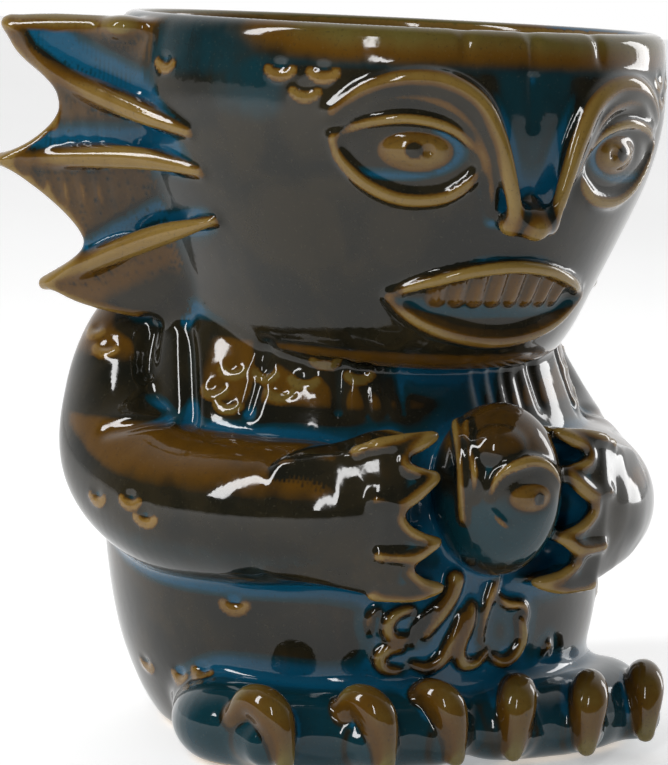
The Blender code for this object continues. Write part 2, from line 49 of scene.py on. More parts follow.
# height, half width, front depth, back depth, centre y, tilt
TORSO = [
    (0.0, 37.0, 34.0, 35.0, 2.0, 0.0),
    (2.0, 39.3, 36.8, 37.5, 2.0, 0.0),
    (8.0, 43.0, 41.0, 42.0, 2.0, 0.0),
    (18.0, 47.0, 45.0, 46.0, 2.0, 0.0),
    (32.0, 49.5, 47.5, 48.5, 3.0, 0.0),
    (46.0, 50.0, 47.5, 49.0, 5.0, 0.0),
    (60.0, 48.5, 45.0, 48.0, 8.0, 0.0),
    (72.0, 45.5, 42.0, 45.0, 10.5, 0.0),
    (84.0, 42.5, 38.5, 42.5, 11.7, 0.0),
]
HEAD = [
    (70.0, 36.5, 38.0, 42.5, 11.5, 0.10),
    (79.0, 39.0, 47.0, 43.5, 10.0, 0.10),
    (84.0, 40.5, 52.5, 44.0, 9.0, 0.06),
    (90.0, 42.5, 55.5, 45.5, 7.5, 0.02),
    (100.0, 47.0, 56.5, 48.5, 4.5, 0.0),
    (112.0, 51.5, 56.5, 51.5, 1.0, 0.0),
    (124.0, 53.8, 55.0, 53.5, -1.5, 0.0),
    (MUG_HEIGHT, 53.0, 53.0, 53.0, -2.5, 0.0),
]
BOWL = [
    (7.0, 35.0, 33.0, 34.0, 2.0, 0.0),
    (10.5, 38.0, 36.0, 37.0, 2.0, 0.0),
    (18.0, 42.0, 40.2, 41.2, 2.0, 0.0),
    (32.0, 44.9, 42.9, 43.9, 3.0, 0.0),
    (46.0, 45.4, 42.9, 44.4, 5.0, 0.0),
    (60.0, 43.9, 40.4, 43.4, 8.0, 0.0),
    (72.0, 39.5, 36.0, 39.0, 10.5, 0.0),
    (79.0, 35.0, 32.5, 38.0, 11.5, 0.0),
    (85.0, 35.5, 38.5, 39.0, 9.0, 0.0),
    (91.0, 38.4, 47.0, 41.2, 7.0, 0.0),
    (100.0, 42.4, 51.4, 43.9, 4.5, 0.0),
    (112.0, 46.9, 51.9, 46.9, 1.0, 0.0),
    (124.0, 49.2, 50.4, 48.9, -1.5, 0.0),
    (MUG_HEIGHT, 53.0 - WALL, 53.0 - WALL, 53.0 - WALL, -2.5, 0.0),
]


# ---- curves


def eased(keys, t):
    """The point that a smooth curve through keys passes at t, where t counts keys from 0."""
    keys = np.asarray(keys, float)
    last = len(keys) - 1
    i = min(int(t), last - 1)
    u = t - i
    a, b, c, d = keys[max(i - 1, 0)], keys[i], keys[i + 1], keys[min(i + 2, last)]
    return b + 0.5 * u * (c - a + u * (2 * a - 5 * b + 4 * c - d + u * (3 * (b - c) + d - a)))


def resampled(keys, count):
    return np.array([eased(keys, k * (len(keys) - 1) / (count - 1)) for k in range(count)])


def tables(sections):
    """The sections as fine even tables in height, on smooth monotone curves."""
    keys = np.asarray(sections, float)
    heights = keys[:, 0]
    slopes = np.zeros_like(keys)
    slopes[1:-1] = (keys[2:] - keys[:-2]) / (heights[2:] - heights[:-2])[:, None]
    slopes[0] = (keys[1] - keys[0]) / (heights[1] - heights[0])
    slopes[-1] = (keys[-1] - keys[-2]) / (heights[-1] - heights[-2])
    fine = np.arange(heights[0], heights[-1] + 0.01, 0.25)
    i = np.clip(np.searchsorted(heights, fine, side="right") - 1, 0, len(heights) - 2)
    gap = heights[i + 1] - heights[i]
    u = ((fine - heights[i]) / gap)[:, None]
    gap = gap[:, None]
    values = (
        (2 * u**3 - 3 * u**2 + 1) * keys[i]
        + (u**3 - 2 * u**2 + u) * gap * slopes[i]
        + (3 * u**2 - 2 * u**3) * keys[i + 1]
        + (u**3 - u**2) * gap * slopes[i + 1]
    )
    return fine, values


TABLES = {"torso": tables(TORSO), "head": tables(HEAD), "bowl": tables(BOWL)}


def on_wall(wall, turn, height, lift=0.0):
    """A point at a lift above a wall, and the outward normal there. turn is in degrees from the front."""
    fine, values = TABLES[wall]

    def point(turn, height):
        _, half, front, back, centre, tilt = (np.interp(height, fine, values[:, c]) for c in range(6))
        angle = math.radians(turn)
        depth = front if math.cos(angle) > 0 else back
        y = centre - depth * math.cos(angle)
        return np.array([half * math.sin(angle), y, height + tilt * y])

    here = point(turn, height)
    across = point(turn + 1.0, height) - point(turn - 1.0, height)
    upward = point(turn, height + 0.5) - point(turn, height - 0.5)
    normal = np.cross(across, upward)
    normal /= np.linalg.norm(normal)
    return here + normal * lift, normal


# ---- the field

counts = np.ceil((HIGH - LOW) / VOXEL).astype(int) + 1
X = (LOW[0] + VOXEL * np.arange(counts[0])).astype(np.float32)
Y = (LOW[1] + VOXEL * np.arange(counts[1])).astype(np.float32)
Z = (LOW[2] + VOXEL * np.arange(counts[2])).astype(np.float32)


def block(low, high):
    """The slices of the grid that cover a box, and its open coordinates."""
    first = np.clip(np.floor((np.asarray(low) - LOW) / VOXEL).astype(int), 0, counts - 1)
    last = np.clip(np.ceil((np.asarray(high) - LOW) / VOXEL).astype(int) + 1, 1, counts)
    cut = tuple(slice(a, b) for a, b in zip(first, last))
    return cut, X[cut[0], None, None], Y[None, cut[1], None], Z[None, None, cut[2]]


def soft_min(a, b, k):
    h = np.maximum(k - np.abs(a - b), 0.0) / k
    return np.minimum(a, b) - h * h * (k * 0.25)


def soft_max(a, b, k):
    h = np.maximum(k - np.abs(a - b), 0.0) / k
    return np.maximum(a, b) + h * h * (k * 0.25)


def wall_field(wall, grow=0.0):
    """Distance to the elliptic wall of a section table, over the whole grid."""
    fine, values = TABLES[wall]
    yy, zz = np.meshgrid(Y, Z, indexing="ij")
    height = zz.copy()
    for _ in range(3):
        height = zz - np.interp(height, fine, values[:, 5]) * yy
    half, front, back = (np.interp(height, fine, values[:, column]) + grow for column in (1, 2, 3))
    centre = np.interp(height, fine, values[:, 4])
    depth = np.where(yy < centre, front, back)
    p = X[:, None, None] ** 2 / (half**2)[None].astype(np.float32)
    q = ((yy - centre) ** 2 / depth**2)[None].astype(np.float32)
    rho = np.sqrt(p + q) + 1e-4
    steep = np.sqrt(p / (half**2)[None].astype(np.float32) + q / (depth**2)[None].astype(np.float32)) + 1e-6
    distance = (rho - 1.0) * rho / steep
    slope = np.gradient(distance, VOXEL, axis=2)
    return (distance / np.sqrt(1.0 + np.clip(slope, -1.5, 1.5) ** 2)).astype(np.float32)


class Chain:
    """A bar of round section along a curve: keys are (x, y, z, radius)."""

    def __init__(self, keys, step=1.2):
        keys = np.asarray(keys, float)
        length = np.linalg.norm(np.diff(keys[:, :3], axis=0), axis=1).sum()
        self.points = resampled(keys, max(int(length / step), 3))

    def box(self, margin):
        radius = self.points[:, 3].max() + margin
        return self.points[:, :3].min(axis=0) - radius, self.points[:, :3].max(axis=0) + radius

    def distance(self, x, y, z):
        best = np.full(np.broadcast_shapes(x.shape, y.shape, z.shape), 99.0, np.float32)
        for a, b in zip(self.points[:-1], self.points[1:]):
            along = b[:3] - a[:3]
            size = max(float(along @ along), 1e-9)
            t = ((x - a[0]) * along[0] + (y - a[1]) * along[1] + (z - a[2]) * along[2]) / size
            t = np.clip(t, 0.0, 1.0).astype(np.float32)
            square = (x - a[0] - t * along[0]) ** 2 + (y - a[1] - t * along[1]) ** 2
            square = square + (z - a[2] - t * along[2]) ** 2
            d = np.sqrt(square) - (a[3] + t * (b[3] - a[3]))
            np.minimum(best, d, out=best)
        return best


def ridge_keys(wall, keys, side=1, count=None):
    """Chain keys for a ridge on a wall. keys are (turn, height, half width, lift), for the left side."""
    stations = resampled(keys, count or 4 * len(keys))
    chain = []
    for turn, height, width, lift in stations:
        width = max(width, 0.45)
        point, _ = on_wall(wall, side * turn, height, lift - width)
        chain.append((*point, width))
    return chain


def sunk_keys(wall, keys):
    """Chain keys for a channel in a wall. keys are (turn, height, radius, lift of the channel's bottom)."""
    chain = []
    for turn, height, radius, floor in keys:
        point, _ = on_wall(wall, turn, height, radius + floor)
        chain.append((*point, radius))
    return chain


def mirror(keys, side):
    """Keys given for the right side, moved to the side that is asked for."""
    return [(-side * key[0], *key[1:]) for key in keys]


FIELD = None
OWNERS = []  # (CAD node, the shape that it added to the field), in the order of adding
CRESCENTS = []  # the raised crescent scales, where the glaze is thin


class Patch:
    """A shape that is known by its distances on one block of the grid."""

    def __init__(self, cut, values):
        self.values = values
        self.low = LOW + VOXEL * np.array([part.start for part in cut])
        self.last = np.array(values.shape) - 1

    def box(self, margin):
        return self.low, self.low + VOXEL * self.last

    def distance(self, x, y, z):
        place = np.rint((np.stack([x, y, z], axis=-1) - self.low) / VOXEL).astype(int)
        return self.values[tuple(np.clip(place, 0, self.last).T)]


def add(chain, k=1.2, owner=None):
    cut, x, y, z = block(*chain.box(k + 1.5))
    FIELD[cut] = soft_min(FIELD[cut], chain.distance(x, y, z), k)
    if owner:
        OWNERS.append((owner, chain))


def carve(chain, k=0.8):
    cut, x, y, z = block(*chain.box(k + 1.5))
    FIELD[cut] = soft_max(FIELD[cut], -chain.distance(x, y, z), k)


class Ball:
    """An ellipsoid."""

    def __init__(self, centre, radii):
        self.centre = np.asarray(centre, float)
        self.radii = np.asarray(radii, float)

    def box(self, margin):
        return self.centre - self.radii - margin, self.centre + self.radii + margin

    def distance(self, x, y, z):
        p, q, r = ((c - o) / s for c, o, s in zip((x, y, z), self.centre, self.radii))
        rho = np.sqrt(p * p + q * q + r * r) + 1e-4
        steep = np.sqrt((p / self.radii[0]) ** 2 + (q / self.radii[1]) ** 2 + (r / self.radii[2]) ** 2) + 1e-6
        return ((rho - 1.0) * rho / steep).astype(np.float32)


# ---- the body


def build_body():
    """Head and torso as one solid, without the bowl."""
    z = Z[None, None, :]
    y = Y[None, :, None]
    torso = wall_field("torso")
    torso = soft_max(torso, z - 83.0, 5.0)
    head = wall_field("head")
    head = soft_max(head, (78.3 - (z - 0.1 * y)) / 1.005, 3.0)
    return soft_min(torso, head, 2.2)


ARM = [
    (-39.0, 20.0, 81.0, 7.5),
    (-41.5, 19.5, 74.0, 11.0),
    (-43.0, 17.0, 64.0, 14.0),
    (-45.3, 9.5, 53.5, 15.2),
    (-44.0, -6.0, 47.8, 14.6),
    (-37.5, -22.0, 47.4, 14.0),
    (-30.5, -31.5, 48.2, 13.4),
    (-26.0, -36.5, 49.0, 11.8),
]
FOOT = [
    (-40.0, -12.0, 7.0, 6.0),
    (-42.5, -25.5, 7.8, 8.0),
    (-31.0, -37.5, 8.0, 7.6),
    (-15.0, -41.5, 8.0, 7.4),
    (-5.5, -42.5, 7.8, 6.4),
]
CLAWS = {
    "outer": [
        (-44.5, -34.5, 11.0, 2.4),
        (-43.2, -38.0, 14.6, 3.2),
        (-41.0, -42.6, 12.6, 3.6),
        (-39.7, -45.2, 4.6, 1.9),
    ],
    "middle": [
        (-27.5, -43.5, 11.4, 2.4),
        (-25.6, -46.0, 15.2, 3.2),
        (-23.2, -50.0, 12.8, 3.6),
        (-22.0, -51.6, 4.4, 1.9),
    ],
    "inner": [
        (-11.8, -43.6, 11.4, 2.4),
        (-9.8, -45.6, 15.2, 3.2),
        (-7.6, -49.2, 12.8, 3.6),
        (-6.3, -50.4, 4.2, 1.9),
    ],
}


def build_limbs():
    for side, word in ((-1, "right"), (1, "left")):
        add(Chain(mirror(ARM, side)), 2.0, word + "_arm")
        add(Chain(mirror(FOOT, side)), 5.0, word + "_foot")
        for place, keys in CLAWS.items():
            x, y, z, _ = keys[2]
            toe = Chain(mirror([(x, y + 5.0, z - 5.2, 4.8), (x, y + 2.5, z - 5.6, 4.6)], side))
            add(toe, 3.0, word + "_foot")
        for place, keys in CLAWS.items():
            add(Chain(mirror(keys, side), 0.9), 0.9, f"{word}_{place}_claw")


# ---- the fins

FIN_ROOT = np.array([
    (140.0, -50.0, -4.0),
    (121.0, -49.0, -2.0),
    (103.0, -44.0, 0.0),
    (88.0, -39.0, 3.0),
    (78.0, -37.0, 6.0),
])
FIN_TIPS = np.array([(136.2, -72.0, 20.0), (110.2, -73.5, 20.0), (86.3, -62.5, 20.0)])
SPINES = {
    "top": [
        (-50.6, -16.5, 118.2, 0.8),
        (-55.2, -5.5, 121.0, 2.2),
        (-63.2, 7.0, 125.8, 2.3),
        (-69.4, 16.2, 131.6, 2.0),
        (-71.6, 19.4, 136.2, 1.5),
    ],
    "middle": [
        (-48.4, -17.0, 110.9, 0.8),
        (-54.5, -5.5, 112.4, 2.2),
        (-63.0, 7.0, 111.8, 2.2),
        (-73.0, 20.0, 110.2, 1.4),
    ],
    "low": [
        (-45.2, -17.0, 101.6, 0.8),
        (-50.0, -6.0, 98.2, 2.2),
        (-55.5, 7.0, 93.0, 2.3),
        (-62.3, 20.0, 86.3, 1.5),
    ],
}
TOP_EDGE = [(-71.4, 19.2, 136.4, 1.7), (-66.0, 12.4, 137.6, 1.6), (-59.0, 4.4, 137.8, 1.6)]


def build_fin(side, word):
    near, far = (-78, -30) if side < 0 else (30, 78)
    cut, x, y, z = block((near, -14, 76), (far, 30, 141.5))
    heights = Z[cut[2]]
    order = np.argsort(FIN_ROOT[:, 0])
    root_x = np.interp(heights, FIN_ROOT[order, 0], FIN_ROOT[order, 1]) * -side
    root_y = np.interp(heights, FIN_ROOT[order, 0], FIN_ROOT[order, 2])
    order = np.argsort(FIN_TIPS[:, 0])
    tip_x = np.interp(heights, FIN_TIPS[order, 0], FIN_TIPS[order, 1]) * -side
    tip_y = np.interp(heights, FIN_TIPS[order, 0], FIN_TIPS[order, 2])
    reach = np.hypot(tip_x - root_x, tip_y - root_y)
    out_x, out_y = (tip_x - root_x) / reach, (tip_y - root_y) / reach
    # Between two tips the free edge falls back in a bay.
    edge = reach.copy()
    bays = ((136.2, 110.2, 121.0, 12.5), (110.2, 86.3, 96.0, 12.0), (86.3, 78.0, 79.0, 8.0))
    for top, low, deepest, depth in bays:
        inside = (heights <= top) & (heights >= low)
        rise, fall = (heights - deepest) / (top - deepest), (deepest - heights) / (deepest - low)
        span = np.where(heights > deepest, rise, fall)
        edge = np.where(inside, reach - depth * (1.0 - np.clip(span, 0, 1) ** 1.7), edge)
    u = (x - root_x) * out_x + (y - root_y) * out_y
    v = ((x - root_x) * -out_y + (y - root_y) * out_x) * -side  # positive behind the web
    share = np.clip(u / reach, 0.0, 1.0)
    half = 2.3 - 1.1 * share
    # Shallow pleats hang in each bay, under the spine above it.
    hang = np.exp(-(((z - 105.5) / 4.0) ** 2)) + 0.7 * np.exp(-(((z - 118.5) / 3.5) ** 2))
    pleat = 0.38 * np.sin(u * 1.9) * hang * np.clip(u / 8.0 - 0.6, 0, 1) * np.clip((edge - u) / 4.0, 0, 1)
    web = soft_max(np.abs(v - 2.0 - pleat) - half, (u - edge) * 0.8, 1.4)
    web = soft_max(web, (z - (138.6 - 2.2 * share)) * 1.0, 1.6)
    web = soft_max(web, (80.0 + 5.0 * share**2) - z, 2.0)
    web = np.broadcast_to(web, FIELD[cut].shape).astype(np.float32)
    FIELD[cut] = soft_min(FIELD[cut], web, 2.4)
    OWNERS.append((word + "_fin_web", Patch(cut, web)))
    add(Chain(mirror(TOP_EDGE, side)), 2.4, word + "_fin_web")
    for place, keys in SPINES.items():
        proud = [(x, y - 0.4, z, radius) for x, y, z, radius in keys]
        add(Chain(mirror(proud, side), 1.0), 1.6, f"{word}_fin_{place}_spine")


# ---- the octopus and the hands

HAND = [
    (-40.0, 59.0),
    (-28.0, 62.0),
    (-21.0, 64.2),
    (-12.9, 65.2),
    (-15.6, 64.0),
    (-19.6, 61.8),
    (-20.3, 60.0),
    (-17.8, 58.6),
    (-13.4, 57.8),
    (-16.4, 56.2),
    (-20.2, 53.0),
    (-21.2, 50.4),
    (-19.6, 48.0),
    (-16.6, 46.4),
    (-12.2, 45.6),
    (-15.4, 44.6),
    (-18.0, 42.2),
    (-18.2, 39.8),
    (-15.0, 37.6),
    (-9.6, 36.4),
    (-15.5, 34.9),
    (-24.0, 35.0),
    (-40.0, 38.0),
]
OCTOPUS = Ball((2.4, -45.8, 54.0), (12.2, 12.9, 16.4))


def polygon_distance(px, pz, corners):
    """Signed distance to a closed outline, negative inside."""
    corners = np.asarray(corners, float)
    best = np.full(np.broadcast_shapes(px.shape, pz.shape), 1e9)
    inside = np.zeros(best.shape, bool)
    for a, b in zip(corners, np.roll(corners, -1, axis=0)):
        e = b - a
        t = np.clip(((px - a[0]) * e[0] + (pz - a[1]) * e[1]) / (e @ e), 0, 1)
        best = np.minimum(best, np.hypot(px - a[0] - t * e[0], pz - a[1] - t * e[1]))
        crosses = (a[1] > pz) != (b[1] > pz)
        with np.errstate(divide="ignore", invalid="ignore"):
            inside ^= crosses & (px < (b[0] - a[0]) * (pz - a[1]) / (b[1] - a[1] + 1e-12) + a[0])
    return np.where(inside, -best, best)


def hand_front(across, height):
    """Where a hand's front face is, as y, at a distance from the middle and a height."""
    face = np.interp(across, [10.0, 16.0, 24.0, 32.0, 40.0], [-51.0, -52.4, -50.6, -45.0, -37.5])
    return face + 3.0 * ((height - 50.0) / 15.0) ** 2


def build_hand(side, word):
    outline = [(-side * a, b) for a, b in HAND]
    low = (-42, -62, 30) if side < 0 else (6, -62, 30)
    high = (-6, -30, 70) if side < 0 else (42, -30, 70)
    cut, x, y, z = block(low, high)
    flat = polygon_distance(x[:, 0, :], z[:, 0, :], outline)[:, None, :].astype(np.float32)
    across = np.abs(x)
    plate = soft_max(hand_front(across, z).astype(np.float32) - y, flat, 1.8)
    plate = soft_max(plate, y + 36.0, 1.0).astype(np.float32)
    FIELD[cut] = soft_min(FIELD[cut], plate, 2.2)
    OWNERS.append((word + "_hand", Patch(cut, plate)))


def build_octopus():
    cut, x, y, z = block(*OCTOPUS.box(4.0))
    FIELD[cut] = soft_min(FIELD[cut], OCTOPUS.distance(x, y, z), 1.2)
    OWNERS.append(("octopus_head", OCTOPUS))


# ---- details laid on the surface


class Lens:
    """An ellipsoid in a frame of its own: rows of axes are its directions."""

    def __init__(self, centre, axes, radii):
        self.centre = np.asarray(centre, float)
        self.axes = np.asarray(axes, float)
        self.radii = np.asarray(radii, float)

    def box(self, margin):
        reach = self.radii.max() + margin
        return self.centre - reach, self.centre + reach

    def distance(self, x, y, z):
        x, y, z = x - self.centre[0], y - self.centre[1], z - self.centre[2]
        total = 0.0
        steep = 0.0
        for axis, radius in zip(self.axes, self.radii):
            q = (x * axis[0] + y * axis[1] + z * axis[2]) / radius
            total = total + q * q
            steep = steep + (q / radius) ** 2
        rho = np.sqrt(total) + 1e-4
        return ((rho - 1.0) * rho / (np.sqrt(steep) + 1e-6)).astype(np.float32)


def frame_at(normal):
    """Directions across, up and out of the surface."""
    across = np.cross((0.0, 0.0, 1.0), normal)
    across /= np.linalg.norm(across)
    return across, np.cross(normal, across), normal


def settle(points):
    """Points moved onto the present surface, and the outward normals there."""
    points = np.array(points, float)
    for _ in range(6):
        slope = gradient_at(FIELD, points)
        size = np.maximum((slope * slope).sum(axis=1), 0.15)
        points -= np.clip(sampled(FIELD, points) / size, -1.5, 1.5)[:, None] * slope
    slope = gradient_at(FIELD, points, 1.0)
    return points, slope / np.linalg.norm(slope, axis=1)[:, None]


def draped(keys):
    """Chain keys for a bar on the present surface. keys are (x, y, z, radius, lift)."""
    stations = resampled(keys, 4 * len(keys))
    points, normals = settle(stations[:, :3])
    radius = np.maximum(stations[:, 3], 0.4)
    return np.column_stack([points + normals * (stations[:, 4] - radius)[:, None], radius])


def crescent(place, size=2.3, thick=0.62, turn=0.0, owner=None):
    """A raised crescent scale, its horns up, with a shallow pool of glaze above it."""
    (point,), (normal,) = settle([place])
    across, upward, normal = frame_at(normal)
    keys = []
    for step in range(7):
        angle = math.radians(-66 + 22 * step)
        x = 1.15 * size * math.sin(angle)
        z = -0.75 * size * math.cos(angle) + 0.3 * size
        x, z = x * math.cos(turn) - z * math.sin(turn), x * math.sin(turn) + z * math.cos(turn)
        r = thick * (1.0 - 0.45 * abs(math.sin(angle)) ** 2)
        keys.append((*(point + across * x + upward * z), r, 0.75 * r + 0.12))
    pool = Lens(point + normal * 0.9 + upward * 0.5, (across, upward, normal), (0.8 * size, 0.5 * size, 1.3))
    cut, x, y, z = block(*pool.box(2.0))
    FIELD[cut] = soft_max(FIELD[cut], -pool.distance(x, y, z), 1.0)
    arc = Chain(draped(keys), 0.7)
    add(arc, 0.7, owner)
    CRESCENTS.append(arc)


BROW = [
    (40.5, 124.0, 0.7, 0.5),
    (34.5, 128.2, 1.3, 1.6),
    (27.5, 130.4, 1.6, 2.3),
    (19.5, 130.2, 1.8, 2.8),
    (12.8, 126.8, 1.8, 3.4),
    (8.9, 120.8, 1.7, 4.0),
    (6.6, 114.6, 1.5, 4.6),
    (5.0, 109.6, 1.4, 5.2),
    (4.2, 106.4, 1.3, 5.0),
]
LID_FOLD = [
    (37.5, 122.8, 0.6, 0.4),
    (28.5, 127.0, 1.0, 1.3),
    (19.8, 126.4, 1.1, 1.8),
    (13.6, 122.2, 1.1, 2.1),
    (10.4, 116.0, 1.0, 2.2),
    (8.4, 110.0, 0.7, 1.3),
    (7.4, 106.5, 0.5, 0.4),
]
UPPER_LID = [
    (40.0, 119.6, 0.6, 0.6),
    (34.0, 122.2, 0.9, 1.4),
    (26.0, 123.4, 1.0, 1.8),
    (18.0, 122.0, 1.0, 1.8),
    (12.8, 118.3, 0.8, 1.4),
    (10.8, 115.4, 0.5, 0.7),
]
LOWER_LID = [
    (40.6, 119.0, 0.6, 0.6),
    (39.0, 115.4, 0.9, 1.2),
    (34.0, 111.2, 1.1, 1.6),
    (27.0, 108.8, 1.2, 1.7),
    (19.0, 109.2, 1.1, 1.5),
    (13.8, 112.0, 0.9, 1.3),
    (11.2, 115.2, 0.6, 0.7),
]
# Half of each lip, from its corner to the middle; both_halves gives the rest.
UPPER_LIP = [
    (-28.5, 91.0, 0.7, 0.7),
    (-24.0, 92.8, 1.0, 1.9),
    (-18.0, 94.6, 1.2, 2.7),
    (-9.0, 96.6, 1.3, 3.3),
    (0.0, 97.4, 1.35, 3.5),
]
LOWER_LIP = [
    (-28.5, 91.2, 0.7, 0.7),
    (-26.0, 89.4, 1.1, 1.6),
    (-19.5, 87.2, 1.5, 2.2),
    (-10.0, 85.7, 1.8, 2.6),
    (0.0, 85.2, 1.9, 2.8),
]
EYE_TURN, EYE_HEIGHT = 25.0, 117.4


def both_halves(keys):
    return keys + [(-turn, *rest) for turn, *rest in reversed(keys[:-1])]


def wall_lens(wall, turn, height, lift, radii):
    point, normal = on_wall(wall, turn, height, lift)
    return Lens(point, frame_at(normal), radii)


def add_lens(lens, k, owner=None):
    cut, x, y, z = block(*lens.box(k + 1.0))
    FIELD[cut] = soft_min(FIELD[cut], lens.distance(x, y, z), k)
    if owner:
        OWNERS.append((owner, lens))


def carve_lens(lens, k):
    cut, x, y, z = block(*lens.box(k + 1.0))
    FIELD[cut] = soft_max(FIELD[cut], -lens.distance(x, y, z), k)


def build_face():
    for side, word in ((-1, "right"), (1, "left")):
        carve_lens(wall_lens("head", side * EYE_TURN, EYE_HEIGHT, 2.6, (11.5, 5.4, 3.6)), 1.6)
        add(Chain(ridge_keys("head", LID_FOLD, side)), 2.0, word + "_lid_fold")
        add(Chain(ridge_keys("head", BROW, side)), 3.0, word + "_brow")
        add(Chain(ridge_keys("head", UPPER_LID, side)), 1.3, word + "_upper_lid")
        add(Chain(ridge_keys("head", LOWER_LID, side)), 2.0, word + "_lower_lid")
        ball = wall_lens("head", side * (EYE_TURN - 0.6), EYE_HEIGHT, -1.6, (6.6, 3.4, 2.7))
        add_lens(ball, 0.7, word + "_eyeball")
        carve_lens(wall_lens("head", side * (EYE_TURN - 3.0), EYE_HEIGHT + 0.3, 1.6, (1.3, 1.3, 1.9)), 0.5)
    add(Chain([(0, -55.6, 108.0, 1.6), (0, -57.6, 105.6, 2.4), (0, -58.4, 104.2, 2.5)]), 3.0, "nose")
    for side in (-1, 1):
        add(Chain([(side * 2.6, -57.0, 105.4, 1.9), (side * 4.2, -56.0, 104.2, 1.6)]), 2.6, "nose")
    for height, span, depth in ((93.6, 18.0, 1.9), (91.4, 23.0, 2.3), (89.2, 20.0, 2.3)):
        keys = [(t, height - 0.8 * (t / span) ** 2, 2.2, 2.2 - depth) for t in np.linspace(-span, span, 7)]
        carve(Chain(sunk_keys("head", keys)), 1.6)
    add(Chain(ridge_keys("head", both_halves(UPPER_LIP))), 1.6, "upper_lip")
    add(Chain(ridge_keys("head", both_halves(LOWER_LIP))), 2.2, "lower_lip")
    for k in range(8):
        turn = -17.5 + 5.0 * k
        arch = 1.0 - (turn / 26.0) ** 2
        top, low = 91.8 + 4.0 * arch, 90.6 + 0.2 * arch
        add(Chain(ridge_keys("head", [(turn, top, 1.6, 1.3), (turn, low, 1.4, 0.7)])), 0.8, "teeth")
    for turn, low in ((-15.2, 134.6), (-0.6, 131.8), (16.6, 134.8)):
        keys = [(turn, 141.0, 0.9, -0.75), (turn, 137.0, 0.9, -0.75), (turn, low, 0.8, -0.3)]
        carve(Chain(sunk_keys("head", keys)), 0.9)
    crease = [(-0.6, 131.0, 1.0, -0.35), (-0.5, 127.0, 0.9, -0.2), (-0.4, 123.0, 0.8, 0.1)]
    carve(Chain(sunk_keys("head", crease)), 1.6)


HAND_RIM = HAND[1:-1]
# name, tip and root as (distance from the middle, height)
FINGERS = [
    ("upper", (14.0, 64.6), (18.6, 63.2)),
    ("index", (14.4, 57.2), (19.6, 53.4)),
    ("ring", (13.6, 45.2), (18.8, 43.0)),
    ("lower", (11.0, 36.2), (17.0, 36.4)),
]


def build_octopus_details():
    crest_one = [
        (-5.0, -42.0, 66.5, 1.0, 1.0),
        (-6.9, -47.0, 64.4, 1.3, 1.5),
        (-8.2, -50.4, 60.4, 1.3, 1.5),
        (-8.6, -51.8, 55.0, 1.2, 1.3),
        (-8.0, -51.6, 49.5, 0.9, 0.8),
    ]
    crest_two = [
        (-5.0, -46.5, 66.6, 0.9, 0.9),
        (-6.0, -50.4, 62.5, 1.2, 1.4),
        (-6.4, -53.0, 58.4, 1.1, 1.3),
        (-7.0, -53.4, 54.0, 0.8, 0.6),
    ]
    for keys in (crest_one, crest_two):
        add(Chain(draped(keys), 0.8), 0.9, "octopus_crest")
    swelling = Lens((-2.4, -53.8, 63.4), frame_at(np.array((-0.35, -0.76, 0.55))), (4.6, 3.8, 2.6))
    add_lens(swelling, 1.6, "octopus_head")
    carve_lens(Lens((2.4, -59.6, 54.2), frame_at(np.array((0.1, -0.99, 0.02))), (6.4, 3.5, 2.0)), 1.0)
    ball = Lens((2.6, -56.6, 54.2), frame_at(np.array((0.1, -0.99, 0.02))), (4.3, 2.5, 2.6))
    add_lens(ball, 0.7, "octopus_eye")
    carve_lens(Lens((4.0, -59.5, 54.0), frame_at(np.array((0.1, -0.99, 0.02))), (0.85, 0.85, 1.4)), 0.4)
    brow = [
        (-5.2, -56.0, 54.6, 0.6, 0.7),
        (-3.9, -56.6, 58.2, 1.0, 1.3),
        (-0.3, -57.0, 60.4, 1.3, 1.7),
        (4.0, -57.0, 60.5, 1.2, 1.6),
        (7.8, -56.4, 58.4, 0.9, 1.1),
        (9.6, -55.4, 55.8, 0.5, 0.5),
    ]
    add(Chain(draped(brow), 0.8), 0.8, "octopus_brow")
    lower = [(-4.6, -56.0, 51.6, 0.5, 0.6), (-3.0, -57.0, 49.6, 0.8, 0.9), (-0.8, -57.4, 48.4, 0.5, 0.6)]
    add(Chain(draped(lower), 0.7), 0.7, "octopus_head")
    for side, word in ((-1, "right"), (1, "left")):
        rim = []
        for x, z in HAND_RIM:
            thick = 0.55 + 0.6 * min(max((-x - 12.5) / 3.0, 0.0), 1.0)
            rim.append((side * -x, hand_front(-x, z) + 0.35, z, thick))
        add(Chain(rim, 0.7), 1.2, word + "_hand")
        for place, (tip_x, tip_z), (root_x, root_z) in FINGERS:
            y = -52.0 + 3.0 * ((tip_z - 50.0) / 15.0) ** 2
            keys = [
                (side * tip_x, y, tip_z, 0.8),
                (side * root_x, y + 0.4, root_z, 1.3),
                (side * (root_x + 6.0), y + 2.0, root_z, 1.0),
            ]
            add(Chain(keys, 0.8), 1.4, f"{word}_{place}_finger")


